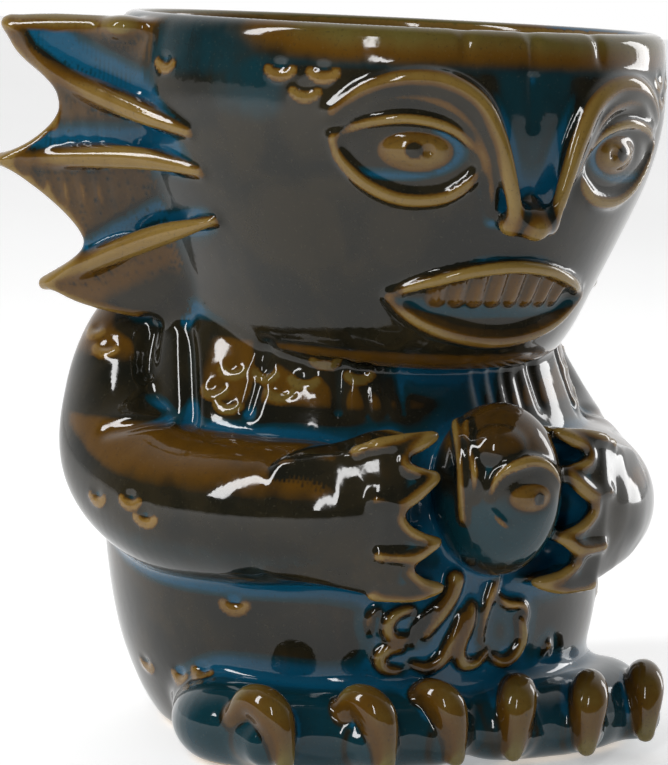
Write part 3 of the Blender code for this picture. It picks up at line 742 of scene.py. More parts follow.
TENTACLES = {
    "tentacle_1": [
        (-15.6, 31.4, 1.0, 1.3),
        (-18.6, 30.6, 1.2, 1.8),
        (-20.6, 28.4, 1.3, 1.9),
        (-20.0, 26.2, 1.2, 1.7),
        (-17.0, 25.6, 0.8, 1.1),
    ],
    "tentacle_2": [
        (-18.0, 23.8, 1.0, 1.3),
        (-20.4, 23.6, 1.2, 1.8),
        (-22.2, 21.8, 1.3, 1.9),
        (-20.8, 19.8, 1.2, 1.7),
        (-17.0, 19.4, 0.8, 1.1),
    ],
    "tentacle_3": [
        (-5.6, 37.0, 1.9, 2.6),
        (-6.6, 34.0, 1.8, 2.4),
        (-8.8, 30.4, 1.4, 2.0),
        (-12.0, 26.4, 0.8, 1.2),
    ],
    "tentacle_4": [
        (-3.6, 30.0, 1.0, 1.4),
        (-5.6, 25.6, 1.3, 2.0),
        (-7.6, 21.8, 1.4, 2.0),
        (-11.0, 20.0, 1.3, 1.9),
        (-14.6, 20.6, 0.8, 1.1),
    ],
    "tentacle_5": [
        (-1.4, 31.5, 1.0, 1.4),
        (-2.0, 28.0, 1.2, 1.8),
        (-3.8, 23.4, 1.3, 2.0),
        (-2.2, 20.6, 1.3, 1.9),
        (1.4, 20.6, 1.0, 1.5),
        (3.4, 22.6, 0.7, 1.0),
    ],
    "tentacle_6": [
        (12.2, 28.4, 0.9, 1.2),
        (13.4, 25.2, 1.2, 1.8),
        (12.0, 21.8, 1.3, 1.9),
        (8.6, 20.2, 1.2, 1.7),
        (5.6, 21.4, 0.7, 1.0),
    ],
}
EXTRA_TENTACLES = [
    [(-8.0, 33.5, 0.8, 1.1), (-11.0, 31.2, 0.9, 1.3), (-14.4, 28.0, 0.8, 1.1), (-15.0, 24.6, 0.6, 0.8)],
    [(-22.6, 31.4, 0.7, 0.9), (-24.6, 29.2, 0.8, 1.1), (-24.4, 27.0, 0.6, 0.8)],
    [(5.4, 33.0, 0.9, 1.2), (8.0, 31.6, 1.0, 1.4), (12.6, 31.0, 1.0, 1.4), (14.2, 28.6, 0.8, 1.0)],
    [(22.2, 20.6, 0.5, 0.6), (23.6, 22.4, 0.9, 1.2), (25.0, 20.8, 0.5, 0.6)],
    [(4.6, 36.5, 1.2, 1.6), (3.0, 33.0, 1.1, 1.5), (1.6, 28.0, 0.9, 1.2), (2.0, 24.6, 0.6, 0.8)],
]


def build_details():
    for name, keys in TENTACLES.items():
        add(Chain(ridge_keys("torso", keys), 0.8), 1.1, name)
    for keys in EXTRA_TENTACLES:
        add(Chain(ridge_keys("torso", keys), 0.8), 1.0, "vessel_body")
    for side in (-1, 1):
        # Soft vertical lobes on the chest and shoulder.
        grooves = [
            [(-21.0, -26.5, 78.0, 1.2, 0.45), (-21.8, -27.2, 72.0, 1.2, 0.5), (-22.4, -28.0, 67.0, 1.1, 0.4)],
            [(-32.6, -17.0, 78.0, 1.3, 0.5), (-34.6, -17.8, 71.0, 1.3, 0.5), (-36.0, -18.2, 65.6, 1.2, 0.4)],
            [
                (-41.0, 0.6, 80.5, 1.3, 0.6),
                (-41.8, -2.3, 76.5, 1.7, 0.3),
                (-42.9, -5.6, 70.2, 1.7, 0.3),
                (-44.2, -9.6, 63.0, 1.5, 0.3),
            ],
            [(-46.2, 6.6, 79.5, 1.2, 0.8), (-45.6, 7.1, 75.5, 1.4, 0.7), (-46.8, 5.4, 70.0, 1.2, 0.8)],
            [(-48.0, -6.0, 62.6, 1.3, 0.5), (-53.0, -2.6, 60.8, 1.4, 0.7), (-56.5, 1.0, 59.6, 1.3, 1.0)],
        ]
        for keys in grooves:
            keys = [(-side * x, y, z, r, r + off) for x, y, z, r, off in keys]
            carve(Chain(draped(keys), 0.9), 1.8)
    for x in (-18.2, -14.2, -10.8, 5.6, 9.6, 13.4, 17.6):
        keys = [(x, -30.0, 76.4, 0.7, 1.05), (x, -31.5, 71.0, 0.8, 1.05), (x, -32.5, 66.8, 0.7, 1.1)]
        carve(Chain(draped(keys), 0.9), 0.9)
    for side, word in ((-1, "right"), (1, "left")):
        add_lens(Lens((side * 56.5, 0.5, 136.8), np.eye(3), (4.2, 4.4, 3.0)), 2.0, word + "_fin_web")
    for x, y, z, name in SCALES:
        for side in (-1, 1):
            if side > 0 and y < -15 and 60 < z < 90:
                continue
            owner = name.replace("right", "left") if side > 0 else name
            crescent((x if side < 0 else -x, y, z), owner=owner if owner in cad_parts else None)
    for x, y, z in BACK_SCALES:
        crescent((x, y, z))


# Crescent scales on the right side, each with the CAD node that it stands for where it has one.
SCALES = [
    (-53.1, -10.4, 130.6, ""),
    (-42.1, -35.6, 130.9, "right_temple_scale"),
    (-36.5, -41.7, 130.8, ""),
    (-38.9, -39.6, 127.2, "right_brow_scale"),
    (-52.2, 17.6, 77.3, ""),
    (-52.2, 12.7, 74.3, ""),
    (-59.6, -2.1, 47.6, ""),
    (-57.4, -11.9, 48.5, ""),
    (-56.0, -15.7, 45.6, ""),
    (-40.6, -23.9, 29.9, "right_skirt_scale"),
    (-45.5, 2.2, 13.6, ""),
    (-43.8, -10.2, 13.8, "right_heel_scale"),
    (-41.8, -16.5, 15.0, ""),
    (-40.9, -11.5, 69.2, ""),
    (-39.0, -14.7, 66.6, ""),
    (-30.9, -20.5, 69.2, ""),
    (-27.3, -23.0, 72.2, ""),
    (-24.0, -25.0, 75.6, ""),
    (-18.5, -28.5, 73.6, "chest_scale"),
    (-37.6, -13.1, 73.1, ""),
    (-33.5, -17.5, 73.0, ""),
]
BACK_SCALES = [
    (0, 55, 108),
    (-22, 48, 118),
    (22, 48, 118),
    (0, 53, 58),
    (-26, 43, 50),
    (26, 43, 50),
    (-14, 48, 36),
    (14, 48, 36),
]


# ---- meshing


def blurred(field, sigma):
    """The field smoothed by a Gaussian of a width in millimetres."""
    reach = max(int(round(2.6 * sigma / VOXEL)), 1)
    offsets = np.arange(-reach, reach + 1)
    weights = np.exp(-0.5 * (offsets * VOXEL / sigma) ** 2)
    weights /= weights.sum()
    out = field
    for axis in range(3):
        source = out
        out = source * np.float32(weights[reach])
        for k in range(1, reach + 1):
            w = np.float32(weights[reach + k])
            ahead = [slice(None)] * 3
            behind = [slice(None)] * 3
            ahead[axis] = slice(k, None)
            behind[axis] = slice(None, -k)
            out[tuple(behind)] += w * source[tuple(ahead)]
            out[tuple(ahead)] += w * source[tuple(behind)]
            first = [slice(None)] * 3
            final = [slice(None)] * 3
            first[axis] = slice(0, k)
            final[axis] = slice(-k, None)
            out[tuple(first)] += w * source[tuple(first)]
            out[tuple(final)] += w * source[tuple(final)]
    return out


def surface_of(field):
    """Vertices (mm) and quads of the field's zero surface, one vertex to each cell that it passes through."""
    solid = field < 0
    mixed = np.zeros(tuple(n - 1 for n in field.shape), np.uint8)
    for i in (0, 1):
        for j in (0, 1):
            for k in (0, 1):
                corner = solid[i : i + mixed.shape[0], j : j + mixed.shape[1], k : k + mixed.shape[2]]
                mixed += corner
    cells = np.argwhere((mixed > 0) & (mixed < 8))
    number = np.full(mixed.shape, -1, np.int32)
    number[tuple(cells.T)] = np.arange(len(cells))
    corners = {}
    for i in (0, 1):
        for j in (0, 1):
            for k in (0, 1):
                corners[i, j, k] = field[cells[:, 0] + i, cells[:, 1] + j, cells[:, 2] + k]
    total = np.zeros((len(cells), 3))
    hits = np.zeros(len(cells))
    for a in corners:
        for axis in range(3):
            if a[axis]:
                continue
            b = tuple(1 if n == axis else a[n] for n in range(3))
            da, db = corners[a], corners[b]
            crossed = (da < 0) != (db < 0)
            t = np.where(crossed, da / np.where(crossed, da - db, 1.0), 0.0)
            place = np.tile(np.array(a, float), (len(cells), 1))
            place[:, axis] = t
            total[crossed] += place[crossed]
            hits += crossed
    points = LOW + VOXEL * (cells + total / hits[:, None])
    quads = []
    for axis in range(3):
        u, v = (axis + 1) % 3, (axis + 2) % 3
        near = [slice(1, -1)] * 3
        near[axis] = slice(0, -1)
        far = list(near)
        far[axis] = slice(1, None)
        a, b = solid[tuple(near)], solid[tuple(far)]
        for flip, found in ((False, a & ~b), (True, ~a & b)):
            at = np.argwhere(found)
            at[:, u] += 1
            at[:, v] += 1
            ring = []
            for du, dv in ((-1, -1), (0, -1), (0, 0), (-1, 0)):
                cell = at.copy()
                cell[:, u] += du
                cell[:, v] += dv
                ring.append(number[tuple(cell.T)])
            ring = np.stack(ring, axis=1)
            quads.append(ring[:, ::-1] if flip else ring)
    return points, np.concatenate(quads)


def sampled(field, points):
    """The field at points, by trilinear interpolation."""
    place = (points - LOW) / VOXEL
    base = np.clip(np.floor(place).astype(int), 0, counts - 2)
    f = place - base
    out = np.zeros(len(points))
    for i in (0, 1):
        for j in (0, 1):
            for k in (0, 1):
                w = f[:, 0] if i else 1 - f[:, 0]
                w = w * (f[:, 1] if j else 1 - f[:, 1])
                w = w * (f[:, 2] if k else 1 - f[:, 2])
                out += w * field[base[:, 0] + i, base[:, 1] + j, base[:, 2] + k]
    return out


def gradient_at(field, points, step=0.5):
    out = np.zeros((len(points), 3))
    for axis in range(3):
        move = np.zeros(3)
        move[axis] = step
        out[:, axis] = (sampled(field, points + move) - sampled(field, points - move)) / (2 * step)
    return out


# ---- the glaze: where it breaks to amber over an edge, and pools to teal in a hollow


def smooth(low, high, value):
    t = np.clip((value - low) / (high - low), 0.0, 1.0)
    return t * t * (3.0 - 2.0 * t)


def reach(shape, points):
    """The distance from each point to a shape, and 99 well away from it."""
    low, high = shape.box(2.0)
    out = np.full(len(points), 99.0)
    close = ((points > low) & (points < high)).all(axis=1)
    x, y, z = points[close].astype(np.float32).T
    out[close] = shape.distance(x, y, z)
    return out


def owners_of(points):
    """The CAD node that each point belongs to, as an index into names, and the names."""
    names = ["vessel_body"] + sorted({name for name, _ in OWNERS if name != "vessel_body"})
    owner = np.zeros(len(points), int)
    for name, shape in OWNERS:
        owner[reach(shape, points) < 0.45] = names.index(name)
    return owner, names


def over(share, new, old):
    """old, with new laid over it by a share from 0 to 1."""
    return old + share * (new - old)


def glaze_masks(points, normals, fine, wide, lining):
    """How far the glaze goes to amber (warm), to teal (cool) and from tan to olive, at each point."""
    x, y, z = points.T
    side = np.abs(x)
    turn = np.abs(np.degrees(np.arctan2(x, 4.0 - y)))
    reaches = {}
    for name, shape in OWNERS:
        reaches[name] = np.minimum(reaches.get(name, 99.0), reach(shape, points))

    def on(*words):
        """How surely a point is on the pieces with these words in their names, from 0 to 1."""
        found = [values for name, values in reaches.items() if any(word in name for word in words)]
        return smooth(1.1, 0.1, np.min(found, axis=0))

    warm = 0.95 * smooth(0.08, 0.40, fine)
    cool = 0.7 * smooth(-0.03, -0.2, fine) + 0.7 * smooth(-0.08, -0.55, wide)
    limb = on("arm", "hand", "finger", "octopus", "foot", "claw", "tentacle", "fin_")
    body = 1.0 - limb
    head = body * smooth(84.0, 87.0, z)

    # Head: an olive rim that runs into a teal forehead, dark cheeks, and a dark panel between the brows.
    band = smooth(128.0, 139.0, z) * head
    temple = smooth(38.0, 60.0, turn) * smooth(120.0, 95.0, turn)
    warm = np.maximum(warm, 0.78 * band * (1.0 - 0.6 * temple))
    olive = band.copy()
    forehead = smooth(138.0, 131.0, z) * smooth(116.0, 126.0, z) * smooth(80.0, 50.0, turn)
    panel = np.exp(-((x / (5.0 + 0.25 * np.clip(z - 104.0, 0.0, 30.0))) ** 2)) * smooth(101.0, 105.0, z)
    panel = panel * smooth(136.0, 130.0, z) * smooth(104.5, 107.5, z) * (y < 0)
    under_nose = head * smooth(105.0, 103.0, z) * smooth(97.0, 99.0, z) * smooth(12.0, 8.0, turn) * (y < 0)
    cool = cool * (1.0 - 0.8 * under_nose)
    around = smooth(133.0, 130.0, z) * smooth(6.0, 10.0, turn) * smooth(48.0, 42.0, turn) * head
    cool = cool * (1.0 - 0.7 * around)
    cool = np.maximum(cool, 0.50 * head * np.maximum(forehead * (1.0 - around), panel))
    cool = np.maximum(cool, 0.46 * head * temple * smooth(124.0, 131.0, z))
    cheek = head * smooth(118.0, 110.0, z) * smooth(6.0, 12.0, turn)
    warm = np.maximum(warm, cheek * 0.18)
    cool = over(cheek * smooth(-0.25, 0.0, fine), np.minimum(cool, 0.3), cool)
    almond = np.hypot((turn - EYE_TURN) * 0.92, (z - EYE_HEIGHT) * 2.1)
    socket = smooth(13.0, 10.0, almond) * head * (y < 0)
    corner = np.maximum(smooth(21.0, 17.0, turn), smooth(115.5, 112.5, z))
    cool = np.maximum(cool, 0.95 * socket * smooth(0.12, -0.02, fine) * corner)
    eyes = on("eyeball")
    pupil = smooth(1.7, 1.1, np.hypot((turn - EYE_TURN + 3.0) * 0.92, z - EYE_HEIGHT - 0.3))
    warm = over(eyes, (0.62 + 0.1 * smooth(0.0, 0.2, fine)) * (1.0 - pupil), warm)
    cool = over(eyes, 0.0, cool)
    mouth = smooth(1.05, 0.85, np.hypot(turn / 27.0, (z - 90.6) / 4.4)) * head * (y < 0)
    cool = over(mouth, 0.62 * smooth(91.5, 89.0, z), cool)
    teeth = on("teeth")
    warm = over(teeth, 0.42 + 0.30 * smooth(0.1, 0.4, fine), warm)
    cool = over(teeth, 0.0, cool)
    lips = on("nose", "lip")
    warm = over(lips, np.maximum(warm, 0.34), warm)
    nose = on("nose")
    warm = over(nose, 0.40 + 0.4 * smooth(0.05, 0.3, fine), warm)
    ridges = on("brow", "lid") * body
    warm = over(ridges, np.maximum(warm, 0.82 * smooth(0.0, 0.28, fine)), warm)
    face = on("lip", "lid", "brow", "eye", "nose", "teeth") * body
    olive = over(face, 0.35, olive)

    # The fins: teal lies above each spine, and runs brown towards the spine over it.
    fin = on("fin_")
    top, middle, low = [
        np.interp(side, [-key[0] for key in keys], [key[2] for key in keys]) for keys in SPINES.values()
    ]
    web_cool = np.zeros(len(points))
    web_warm = np.zeros(len(points))
    for under, above, rise in ((top, 143.0 + 0 * top, 8.0), (middle, top, 5.5), (low, middle, 5.5)):
        lift = z - under
        between = smooth(-0.3, 0.3, lift) * smooth(0.3, -0.3, z - above)
        web_cool = over(between, smooth(0.2, 1.8, lift) * smooth(rise + 3.0, rise - 1.5, lift), web_cool)
        web_warm = over(between, 0.40 * smooth(rise - 1.0, rise + 3.0, lift), web_warm)
    web_warm = over(smooth(0.0, 0.6, low - z), 0.52 * smooth(17.0, 7.0, low - z), web_warm)
    behind = smooth(0.1, 0.5, normals[:, 1])
    web_warm = over(behind, 0.2, web_warm)
    web_cool = over(behind, 0.45 * smooth(0.1, -0.1, wide), web_cool)
    web_warm = np.maximum(web_warm, 0.75 * smooth(133.5, 137.0, z) * smooth(50.0, 58.0, side))
    warm = over(fin, np.maximum(0.86 * smooth(0.06, 0.3, fine), web_warm), warm)
    cool = over(fin, np.maximum(web_cool, 0.4 * smooth(-0.05, -0.2, fine)), cool)
    spine = on("spine")
    warm = over(spine, np.maximum(warm, 0.40 + 0.48 * smooth(0.05, 0.3, fine)), warm)
    cool = over(spine * smooth(0.0, 0.1, fine), 0.0, cool)
    olive = over(fin, 0.25 * (1 - smooth(0.0, 3.0, z - top)) + 0.6 * smooth(0.0, 3.0, z - top), olive)

    # Shoulders, forearms and chest.
    arm = on("arm") * (1.0 - on("hand", "finger", "fin_"))
    upward = smooth(0.05, 0.75, normals[:, 2])
    forearm = arm * smooth(64.0, 61.0, z)
    warm = np.maximum(warm, forearm * 0.50 * smooth(47.0, 56.0, z) * smooth(0.0, 0.4, upward))
    cool = np.maximum(cool, forearm * 0.34 * smooth(47.0, 40.0, z))
    shoulder = arm * smooth(61.0, 64.0, z)
    warm = np.maximum(warm, shoulder * 0.52 * smooth(67.0, 77.0, z) * smooth(-0.4, -0.1, wide))
    chest = body * smooth(61.5, 64.0, z) * smooth(80.5, 78.0, z) * smooth(80.0, 70.0, turn)
    warm = np.maximum(warm, chest * 0.50 * smooth(65.5, 68.5, z) * smooth(-0.5, -0.15, wide))
    cool = over(np.maximum(chest, shoulder) * smooth(66.0, 69.0, z) * smooth(-0.5, -0.25, wide), 0.1, cool)
    olive = over(chest, 0.7, olive)
    neck = smooth(58.0, 60.0, z) * smooth(86.0, 83.0, z) * (1.0 - on("fin_", "octopus", "hand"))
    neck = neck * (0.45 + 0.55 * smooth(75.0, 40.0, turn))
    cool = np.maximum(cool, neck * 0.75 * smooth(-0.3, -0.7, wide))
    lobes = smooth(64.5, 67.5, z) * smooth(81.5, 78.5, z) * (1.0 - on("fin_", "octopus", "hand"))
    cool = cool * (1.0 - 0.8 * lobes * smooth(8.0, 14.0, side))

    # Skirt, feet and claws.
    skirt = body * smooth(43.0, 40.0, z)
    warm = np.maximum(warm, skirt * 0.26 * smooth(10.0, 20.0, z))
    curls = skirt * smooth(32.0, 26.0, turn) * smooth(37.0, 34.0, z) * (y < 0)
    cool = np.maximum(cool, 0.66 * curls * smooth(0.06, -0.04, fine))
    tentacle = on("tentacle")
    warm = over(tentacle, np.maximum(warm, 0.45 * smooth(0.0, 0.15, fine)), warm)
    olive = over(tentacle, 0.45, olive)
    foot = on("foot") * (1.0 - on("claw")) * smooth(20.0, 16.0, z)
    cool = np.maximum(cool, foot * 0.60 * smooth(-10.0, -22.0, y))
    warm = over(foot * smooth(-16.0, -24.0, y), 0.30 * smooth(0.15, 0.4, fine), warm)
    claw = on("claw")
    warm = over(claw, 0.44 + 0.45 * smooth(0.10, 0.30, fine), warm)
    cool = over(claw, 0.0, cool)
    olive = over(claw, 0.8, olive)

    # Octopus and hands.
    octopus = on("octopus")
    warm = np.maximum(warm, octopus * 0.40 * smooth(57.0, 64.0, z))
    cool = np.maximum(cool, octopus * 0.52 * smooth(59.0, 51.0, z) * smooth(38.0, 43.0, z))
    hand = on("hand", "finger") * (1.0 - octopus)
    bay = smooth(22.0, 18.5, side) * smooth(0.10, 0.0, fine)
    cool = np.maximum(cool, hand * 0.60 * bay)
    warm = over(hand * (1 - bay), np.maximum(warm, 0.24), warm)
    marks = on("octopus_crest", "octopus_brow")
    warm = over(marks, 0.12 + 0.75 * smooth(0.10, 0.30, fine), warm)
    eye = on("octopus_eye") * (1.0 - on("octopus_brow"))
    dot = smooth(1.5, 0.9, np.hypot(x - 4.0, z - 54.0))
    warm = over(eye, 0.66 * (1.0 - dot), warm)
    cool = over(np.maximum(marks, eye), 0.0, cool)
    olive = over(np.maximum(octopus, hand), 0.3, olive)
    arc = smooth(0.9, 0.2, np.min([reach(shape, points) for shape in CRESCENTS], axis=0))
    warm = over(arc, np.maximum(warm, 0.74), warm)
    cool = over(arc, 0.0, cool)

    inside = lining.astype(float)
    warm = over(inside, 0.55 + 0.2 * smooth(120.0, 140.0, z), warm)
    cool = over(inside, 0.0, cool)
    olive = over(inside, 0.15, olive)
    return np.clip(warm, 0, 1), np.clip(cool, 0, 1), np.clip(olive, 0, 1)


# ---- materials


class Nodes:
    """Short ways to add and wire the nodes of one material."""

    def __init__(self, name):
        self.material = bpy.data.materials.new(name)
        self.material.use_nodes = True
        self.tree = self.material.node_tree
        self.shader = self.tree.nodes["Principled BSDF"]
        self.place = self.add("ShaderNodeTexCoord").outputs["Object"]

    def add(self, kind, **settings):
        node = self.tree.nodes.new(kind)
        for key, value in settings.items():
            setattr(node, key, value)
        return node

    def feed(self, socket, value):
        if isinstance(value, bpy.types.NodeSocket):
            self.tree.links.new(value, socket)
        elif hasattr(value, "__len__") and len(value) == 3 and socket.type == "RGBA":
            socket.default_value = (*value, 1.0)
        else:
            socket.default_value = value

    def attribute(self, name):
        return self.add("ShaderNodeAttribute", attribute_name=name).outputs["Fac"]

    def noise(self, scale, detail=2.0, stretch=(1.0, 1.0, 1.0), distortion=0.0):
        mapping = self.add("ShaderNodeMapping")
        self.feed(mapping.inputs["Vector"], self.place)
        mapping.inputs["Scale"].default_value = stretch
        node = self.add("ShaderNodeTexNoise")
        self.feed(node.inputs["Vector"], mapping.outputs["Vector"])
        node.inputs["Scale"].default_value = scale
        node.inputs["Detail"].default_value = detail
        node.inputs["Distortion"].default_value = distortion
        return node.outputs["Fac"]

    def math(self, operation, a, b=0.0, c=0.0):
        node = self.add("ShaderNodeMath", operation=operation)
        for socket, value in zip(node.inputs, (a, b, c)):
            self.feed(socket, value)
        return node.outputs[0]

    def swayed(self, value, noise, amount):
        """value moved up and down by a noise."""
        return self.math("MULTIPLY_ADD", self.math("SUBTRACT", noise, 0.5), amount, value)

    def step(self, value, low, high, to_low=0.0, to_high=1.0):
        node = self.add("ShaderNodeMapRange", interpolation_type="SMOOTHSTEP")
        for socket, item in zip(node.inputs, (value, low, high, to_low, to_high)):
            self.feed(socket, item)
        return node.outputs[0]

    def mix(self, factor, a, b, blend="MIX"):
        node = self.add("ShaderNodeMix", data_type="RGBA", blend_type=blend)
        self.feed(node.inputs[0], factor)
        self.feed(node.inputs[6], a)
        self.feed(node.inputs[7], b)
        return node.outputs[2]

    def bump(self, height, strength, distance):
        node = self.add("ShaderNodeBump")
        self.feed(node.inputs["Height"], height)
        node.inputs["Strength"].default_value = strength
        node.inputs["Distance"].default_value = distance
        self.feed(self.shader.inputs["Normal"], node.outputs["Normal"])


DARK, DARK_WARM = (0.008, 0.008, 0.005), (0.020, 0.016, 0.008)
TEAL_DEEP, TEAL_BRIGHT = (0.003, 0.027, 0.036), (0.003, 0.062, 0.118)
AMBER = (0.088, 0.040, 0.004)
TAN, OLIVE = (0.235, 0.140, 0.034), (0.100, 0.087, 0.022)


def reactive_glaze():
    n = Nodes("reactive_glaze")
    cloud = n.noise(75.0, 4.0, distortion=0.4)
    mottle = n.noise(420.0, 3.0)
    streak = n.noise(300.0, 2.0, stretch=(1.0, 1.0, 0.16))
    speck = n.noise(1900.0, 1.5)
    warm = n.swayed(n.swayed(n.swayed(n.attribute("warm"), cloud, 0.24), streak, 0.16), mottle, 0.06)
    cool = n.swayed(n.swayed(n.swayed(n.attribute("cool"), cloud, 0.26), streak, 0.16), mottle, 0.10)
    dark = n.mix(n.step(cloud, 0.35, 0.65), DARK, DARK_WARM)
    teal = n.mix(n.step(cool, 0.55, 1.0), TEAL_DEEP, TEAL_BRIGHT)
    pale = n.mix(n.attribute("olive"), TAN, OLIVE)
    colour = n.mix(n.step(cool, 0.22, 0.58), dark, teal)
    colour = n.mix(n.step(warm, 0.24, 0.55), colour, AMBER)
    colour = n.mix(n.step(warm, 0.50, 0.92), colour, pale)
    colour = n.mix(n.step(speck, 0.60, 0.74, 0.0, 0.32), colour, (0.010, 0.012, 0.012))
    colour = n.mix(n.step(speck, 0.34, 0.26, 0.0, 0.10), colour, (0.16, 0.15, 0.10))
    n.feed(n.shader.inputs["Base Color"], colour)
    n.feed(n.shader.inputs["Roughness"], n.step(mottle, 0.3, 0.7, 0.04, 0.09))
    n.shader.inputs["IOR"].default_value = 1.43
    n.bump(n.noise(330.0, 2.0), 0.10, 0.0003)
    return n.material


def bare_stoneware():
    n = Nodes("bare_stoneware")
    grain = n.noise(1500.0, 3.0)
    colour = n.mix(n.step(n.noise(160.0, 3.0), 0.3, 0.7), (0.36, 0.27, 0.17), (0.52, 0.41, 0.28))
    colour = n.mix(n.step(grain, 0.62, 0.7, 0.0, 0.5), colour, (0.16, 0.11, 0.07))
    n.feed(n.shader.inputs["Base Color"], colour)
    n.feed(n.shader.inputs["Roughness"], n.step(grain, 0.2, 0.8, 0.7, 0.92))
    n.bump(grain, 0.35, 0.0002)
    return n.material


# ---- the skin, shared out between the sub-components

BASE_EDGE = 1.1


def build_field():
    """Fills FIELD, and gives back the solid outside and the bowl."""
    global FIELD
    FIELD = build_body()
    build_limbs()
    for side, word in ((-1, "right"), (1, "left")):
        build_fin(side, word)
        build_hand(side, word)
    build_octopus()
    build_face()
    build_octopus_details()
    build_details()
    z = Z[None, None, :]
    FIELD = soft_max(FIELD, -z, 1.4)
    FIELD = soft_max(FIELD, z - MUG_HEIGHT, 3.6)
    outside = FIELD
    bowl = soft_max(wall_field("bowl"), 7.0 - z, 7.0)
    FIELD = blurred(soft_max(FIELD, -bowl, 2.4), 0.5)
    return outside, bowl


def piece_of(name, points, normals, quads, masks, materials, bare):
    """One mesh object from some of the skin's faces, shaded as a part of the whole skin."""
    used, local = np.unique(quads, return_inverse=True)
    local = local.reshape(-1)
    mesh = bpy.data.meshes.new(name)
    mesh.vertices.add(len(used))
    mesh.vertices.foreach_set("co", (points[used] * 0.001).astype(np.float32).ravel())
    mesh.loops.add(len(local))
    mesh.loops.foreach_set("vertex_index", local.astype(np.int32))
    mesh.polygons.add(len(quads))
    mesh.polygons.foreach_set("loop_start", np.arange(0, len(local), 4, dtype=np.int32))
    mesh.polygons.foreach_set("loop_total", np.full(len(quads), 4, np.int32))
    for material in materials:
        mesh.materials.append(material)
    if len(materials) > 1:
        mesh.polygons.foreach_set("material_index", bare.astype(np.int32))
    mesh.update(calc_edges=True)
    mesh.polygons.foreach_set("use_smooth", np.ones(len(quads), bool))
    mesh.normals_split_custom_set_from_vertices(normals[used])
    for key, values in masks.items():
        mesh.attributes.new(key, "FLOAT", "POINT").data.foreach_set("value", values[used].astype(np.float32))
    piece = bpy.data.objects.new(name, mesh)
    bpy.context.scene.collection.objects.link(piece)
    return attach(piece, "root")


def build_skin():
    outside, bowl = build_field()
    points, quads = surface_of(FIELD)
    for _ in range(2):
        slope = gradient_at(FIELD, points)
        size = np.maximum((slope * slope).sum(axis=1), 0.2)
        points -= (sampled(FIELD, points) / size)[:, None] * slope
    slope = gradient_at(FIELD, points, 0.45)
    normals = slope / np.maximum(np.linalg.norm(slope, axis=1), 1e-6)[:, None]
    fine = sampled(blurred(outside, 1.1), points)
    wide = sampled(blurred(outside, 3.2), points)
    lining = (sampled(outside, points) < -1.0) & (sampled(bowl, points) > -1.5)
    owner, names = owners_of(points)
    owner[lining] = 0
    warm, cool, olive = glaze_masks(points, normals, fine, wide, lining)
    masks = {"warm": warm, "cool": cool, "olive": olive}
    middles = points[quads].mean(axis=1)
    face_owner = owner[quads[:, 0]]
    face_lining = lining[quads].all(axis=1)
    bare = middles[:, 2] < BASE_EDGE
    glaze, clay = reactive_glaze(), bare_stoneware()
    shown = set()
    for k, name in enumerate(names):
        mine = (face_owner == k) & ~face_lining
        if not mine.any():
            continue
        worn = bool(bare[mine].any())
        coats = [glaze, clay] if worn else [glaze]
        piece = piece_of(name + "_glaze", points, normals, quads[mine], masks, coats, bare[mine])
        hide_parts(name)
        shown.add(name)
    bowl_piece = piece_of("bowl_lining_glaze", points, normals, quads[face_lining], masks, [glaze], bare)
    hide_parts("vessel_body")
    missed = sorted(set(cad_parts) - shown)
    if missed:
        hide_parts(*missed)
    print("faces", len(quads), "no surface of their own:", missed)


# ---- studio


def aim(thing, place, target):
    thing.location = place
    thing.rotation_euler = (Vector(target) - Vector(place)).to_track_quat("-Z", "Y").to_euler()


def softbox(name, place, width, height, energy):
    lamp = bpy.data.lights.new(name, "AREA")
    lamp.shape = "RECTANGLE"
    lamp.size = width
    lamp.size_y = height
    lamp.energy = energy
    box = bpy.data.objects.new(name, lamp)
    bpy.context.scene.collection.objects.link(box)
    aim(box, place, (0.0, 0.0, 0.07))


def build_camera():
    """A short telephoto view from the idol's right, a little above its middle."""
    heading, distance, height, roll = math.radians(29.0), 0.7, 0.152, math.radians(2.7)
    right = Vector((math.cos(heading), -math.sin(heading), 0.0))
    target = right * -0.0071 + Vector((0.0, 0.0, 0.068))
    eye = target + Vector((-math.sin(heading), -math.cos(heading), 0.0)) * distance
    eye.z = height
    forward = (target - eye).normalized()
    upright = right.cross(forward)
    across = right * math.cos(roll) + upright * math.sin(roll)
    up = upright * math.cos(roll) - right * math.sin(roll)
    data = bpy.data.cameras.new("camera")
    data.sensor_width = 36.0
    data.lens = 167.4
    camera = bpy.data.objects.new("camera", data)
    bpy.context.scene.collection.objects.link(camera)
    placed = Matrix((across, up, -forward)).transposed().to_4x4()
    placed.translation = eye
    camera.matrix_world = placed
    bpy.context.scene.camera = camera


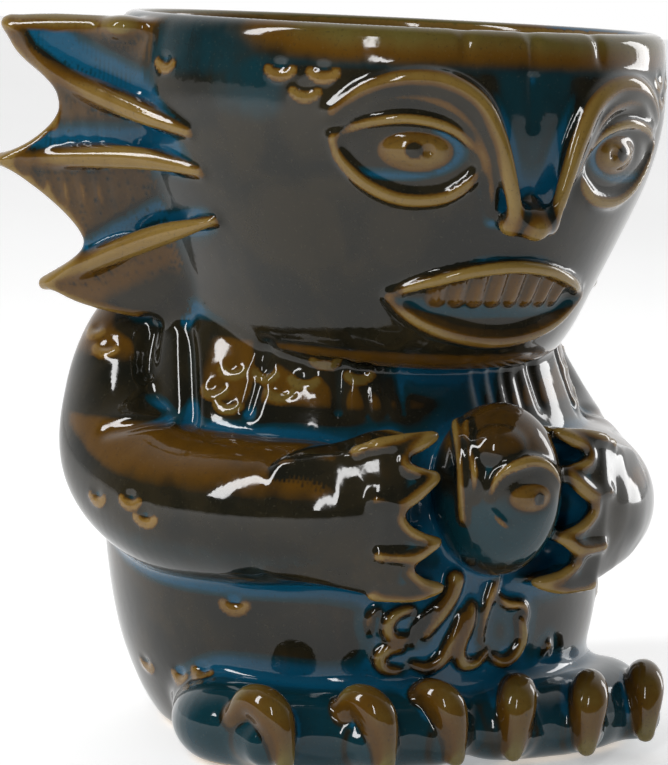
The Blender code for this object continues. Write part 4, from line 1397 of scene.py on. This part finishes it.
def build_floor():
    mesh = bpy.data.meshes.new("floor")
    size = 6.0
    corners = [(-size, -size, 0), (size, -size, 0), (size, size, 0), (-size, size, 0)]
    mesh.from_pydata(corners, [], [(0, 1, 2, 3)])
    floor = bpy.data.objects.new("floor", mesh)
    bpy.context.scene.collection.objects.link(floor)
    n = Nodes("floor")
    shade = n.mix(n.step(n.noise(3.0, 2.0), 0.2, 0.8), (0.90, 0.90, 0.90), (0.94, 0.94, 0.94))
    n.feed(n.shader.inputs["Base Color"], shade)
    n.shader.inputs["Roughness"].default_value = 0.75
    n.shader.inputs["Emission Color"].default_value = (1.0, 1.0, 1.0, 1.0)
    n.shader.inputs["Emission Strength"].default_value = 0.36
    mesh.materials.append(n.material)


def build_studio():
    """A white cove behind the mug, a dim room before it, and softboxes upper left, right and front left."""
    world = bpy.data.worlds.new("studio")
    bpy.context.scene.world = world
    world.use_nodes = True
    tree = world.node_tree
    back = tree.nodes["Background"]
    coord = tree.nodes.new("ShaderNodeTexCoord")
    split = tree.nodes.new("ShaderNodeVectorMath")
    split.operation = "DOT_PRODUCT"
    split.inputs[1].default_value = (0.52, 0.84, 0.15)
    tree.links.new(coord.outputs["Generated"], split.inputs[0])
    ramp = tree.nodes.new("ShaderNodeMapRange")
    ramp.interpolation_type = "SMOOTHSTEP"
    ramp.inputs[1].default_value = -0.15
    ramp.inputs[2].default_value = 0.65
    ramp.inputs[3].default_value = 0.05
    ramp.inputs[4].default_value = 1.05
    tree.links.new(split.outputs["Value"], ramp.inputs[0])
    path = tree.nodes.new("ShaderNodeLightPath")
    strength = tree.nodes.new("ShaderNodeMix")
    tree.links.new(path.outputs["Is Camera Ray"], strength.inputs[0])
    tree.links.new(ramp.outputs[0], strength.inputs[2])
    strength.inputs[3].default_value = 1.0
    back.inputs["Color"].default_value = (1.0, 1.0, 1.0, 1.0)
    tree.links.new(strength.outputs[0], back.inputs["Strength"])
    softbox("upper_left_softbox", (-0.95, 0.0, 0.80), 0.16, 0.80, 8.0)
    softbox("right_softbox", (1.05, 0.14, 0.25), 0.22, 0.75, 3.2)
    softbox("front_softbox", (-0.85, -1.05, 0.70), 0.10, 0.70, 4.5)
    bpy.context.scene.view_settings.view_transform = "Standard"


build_skin()
build_camera()
build_floor()
build_studio()
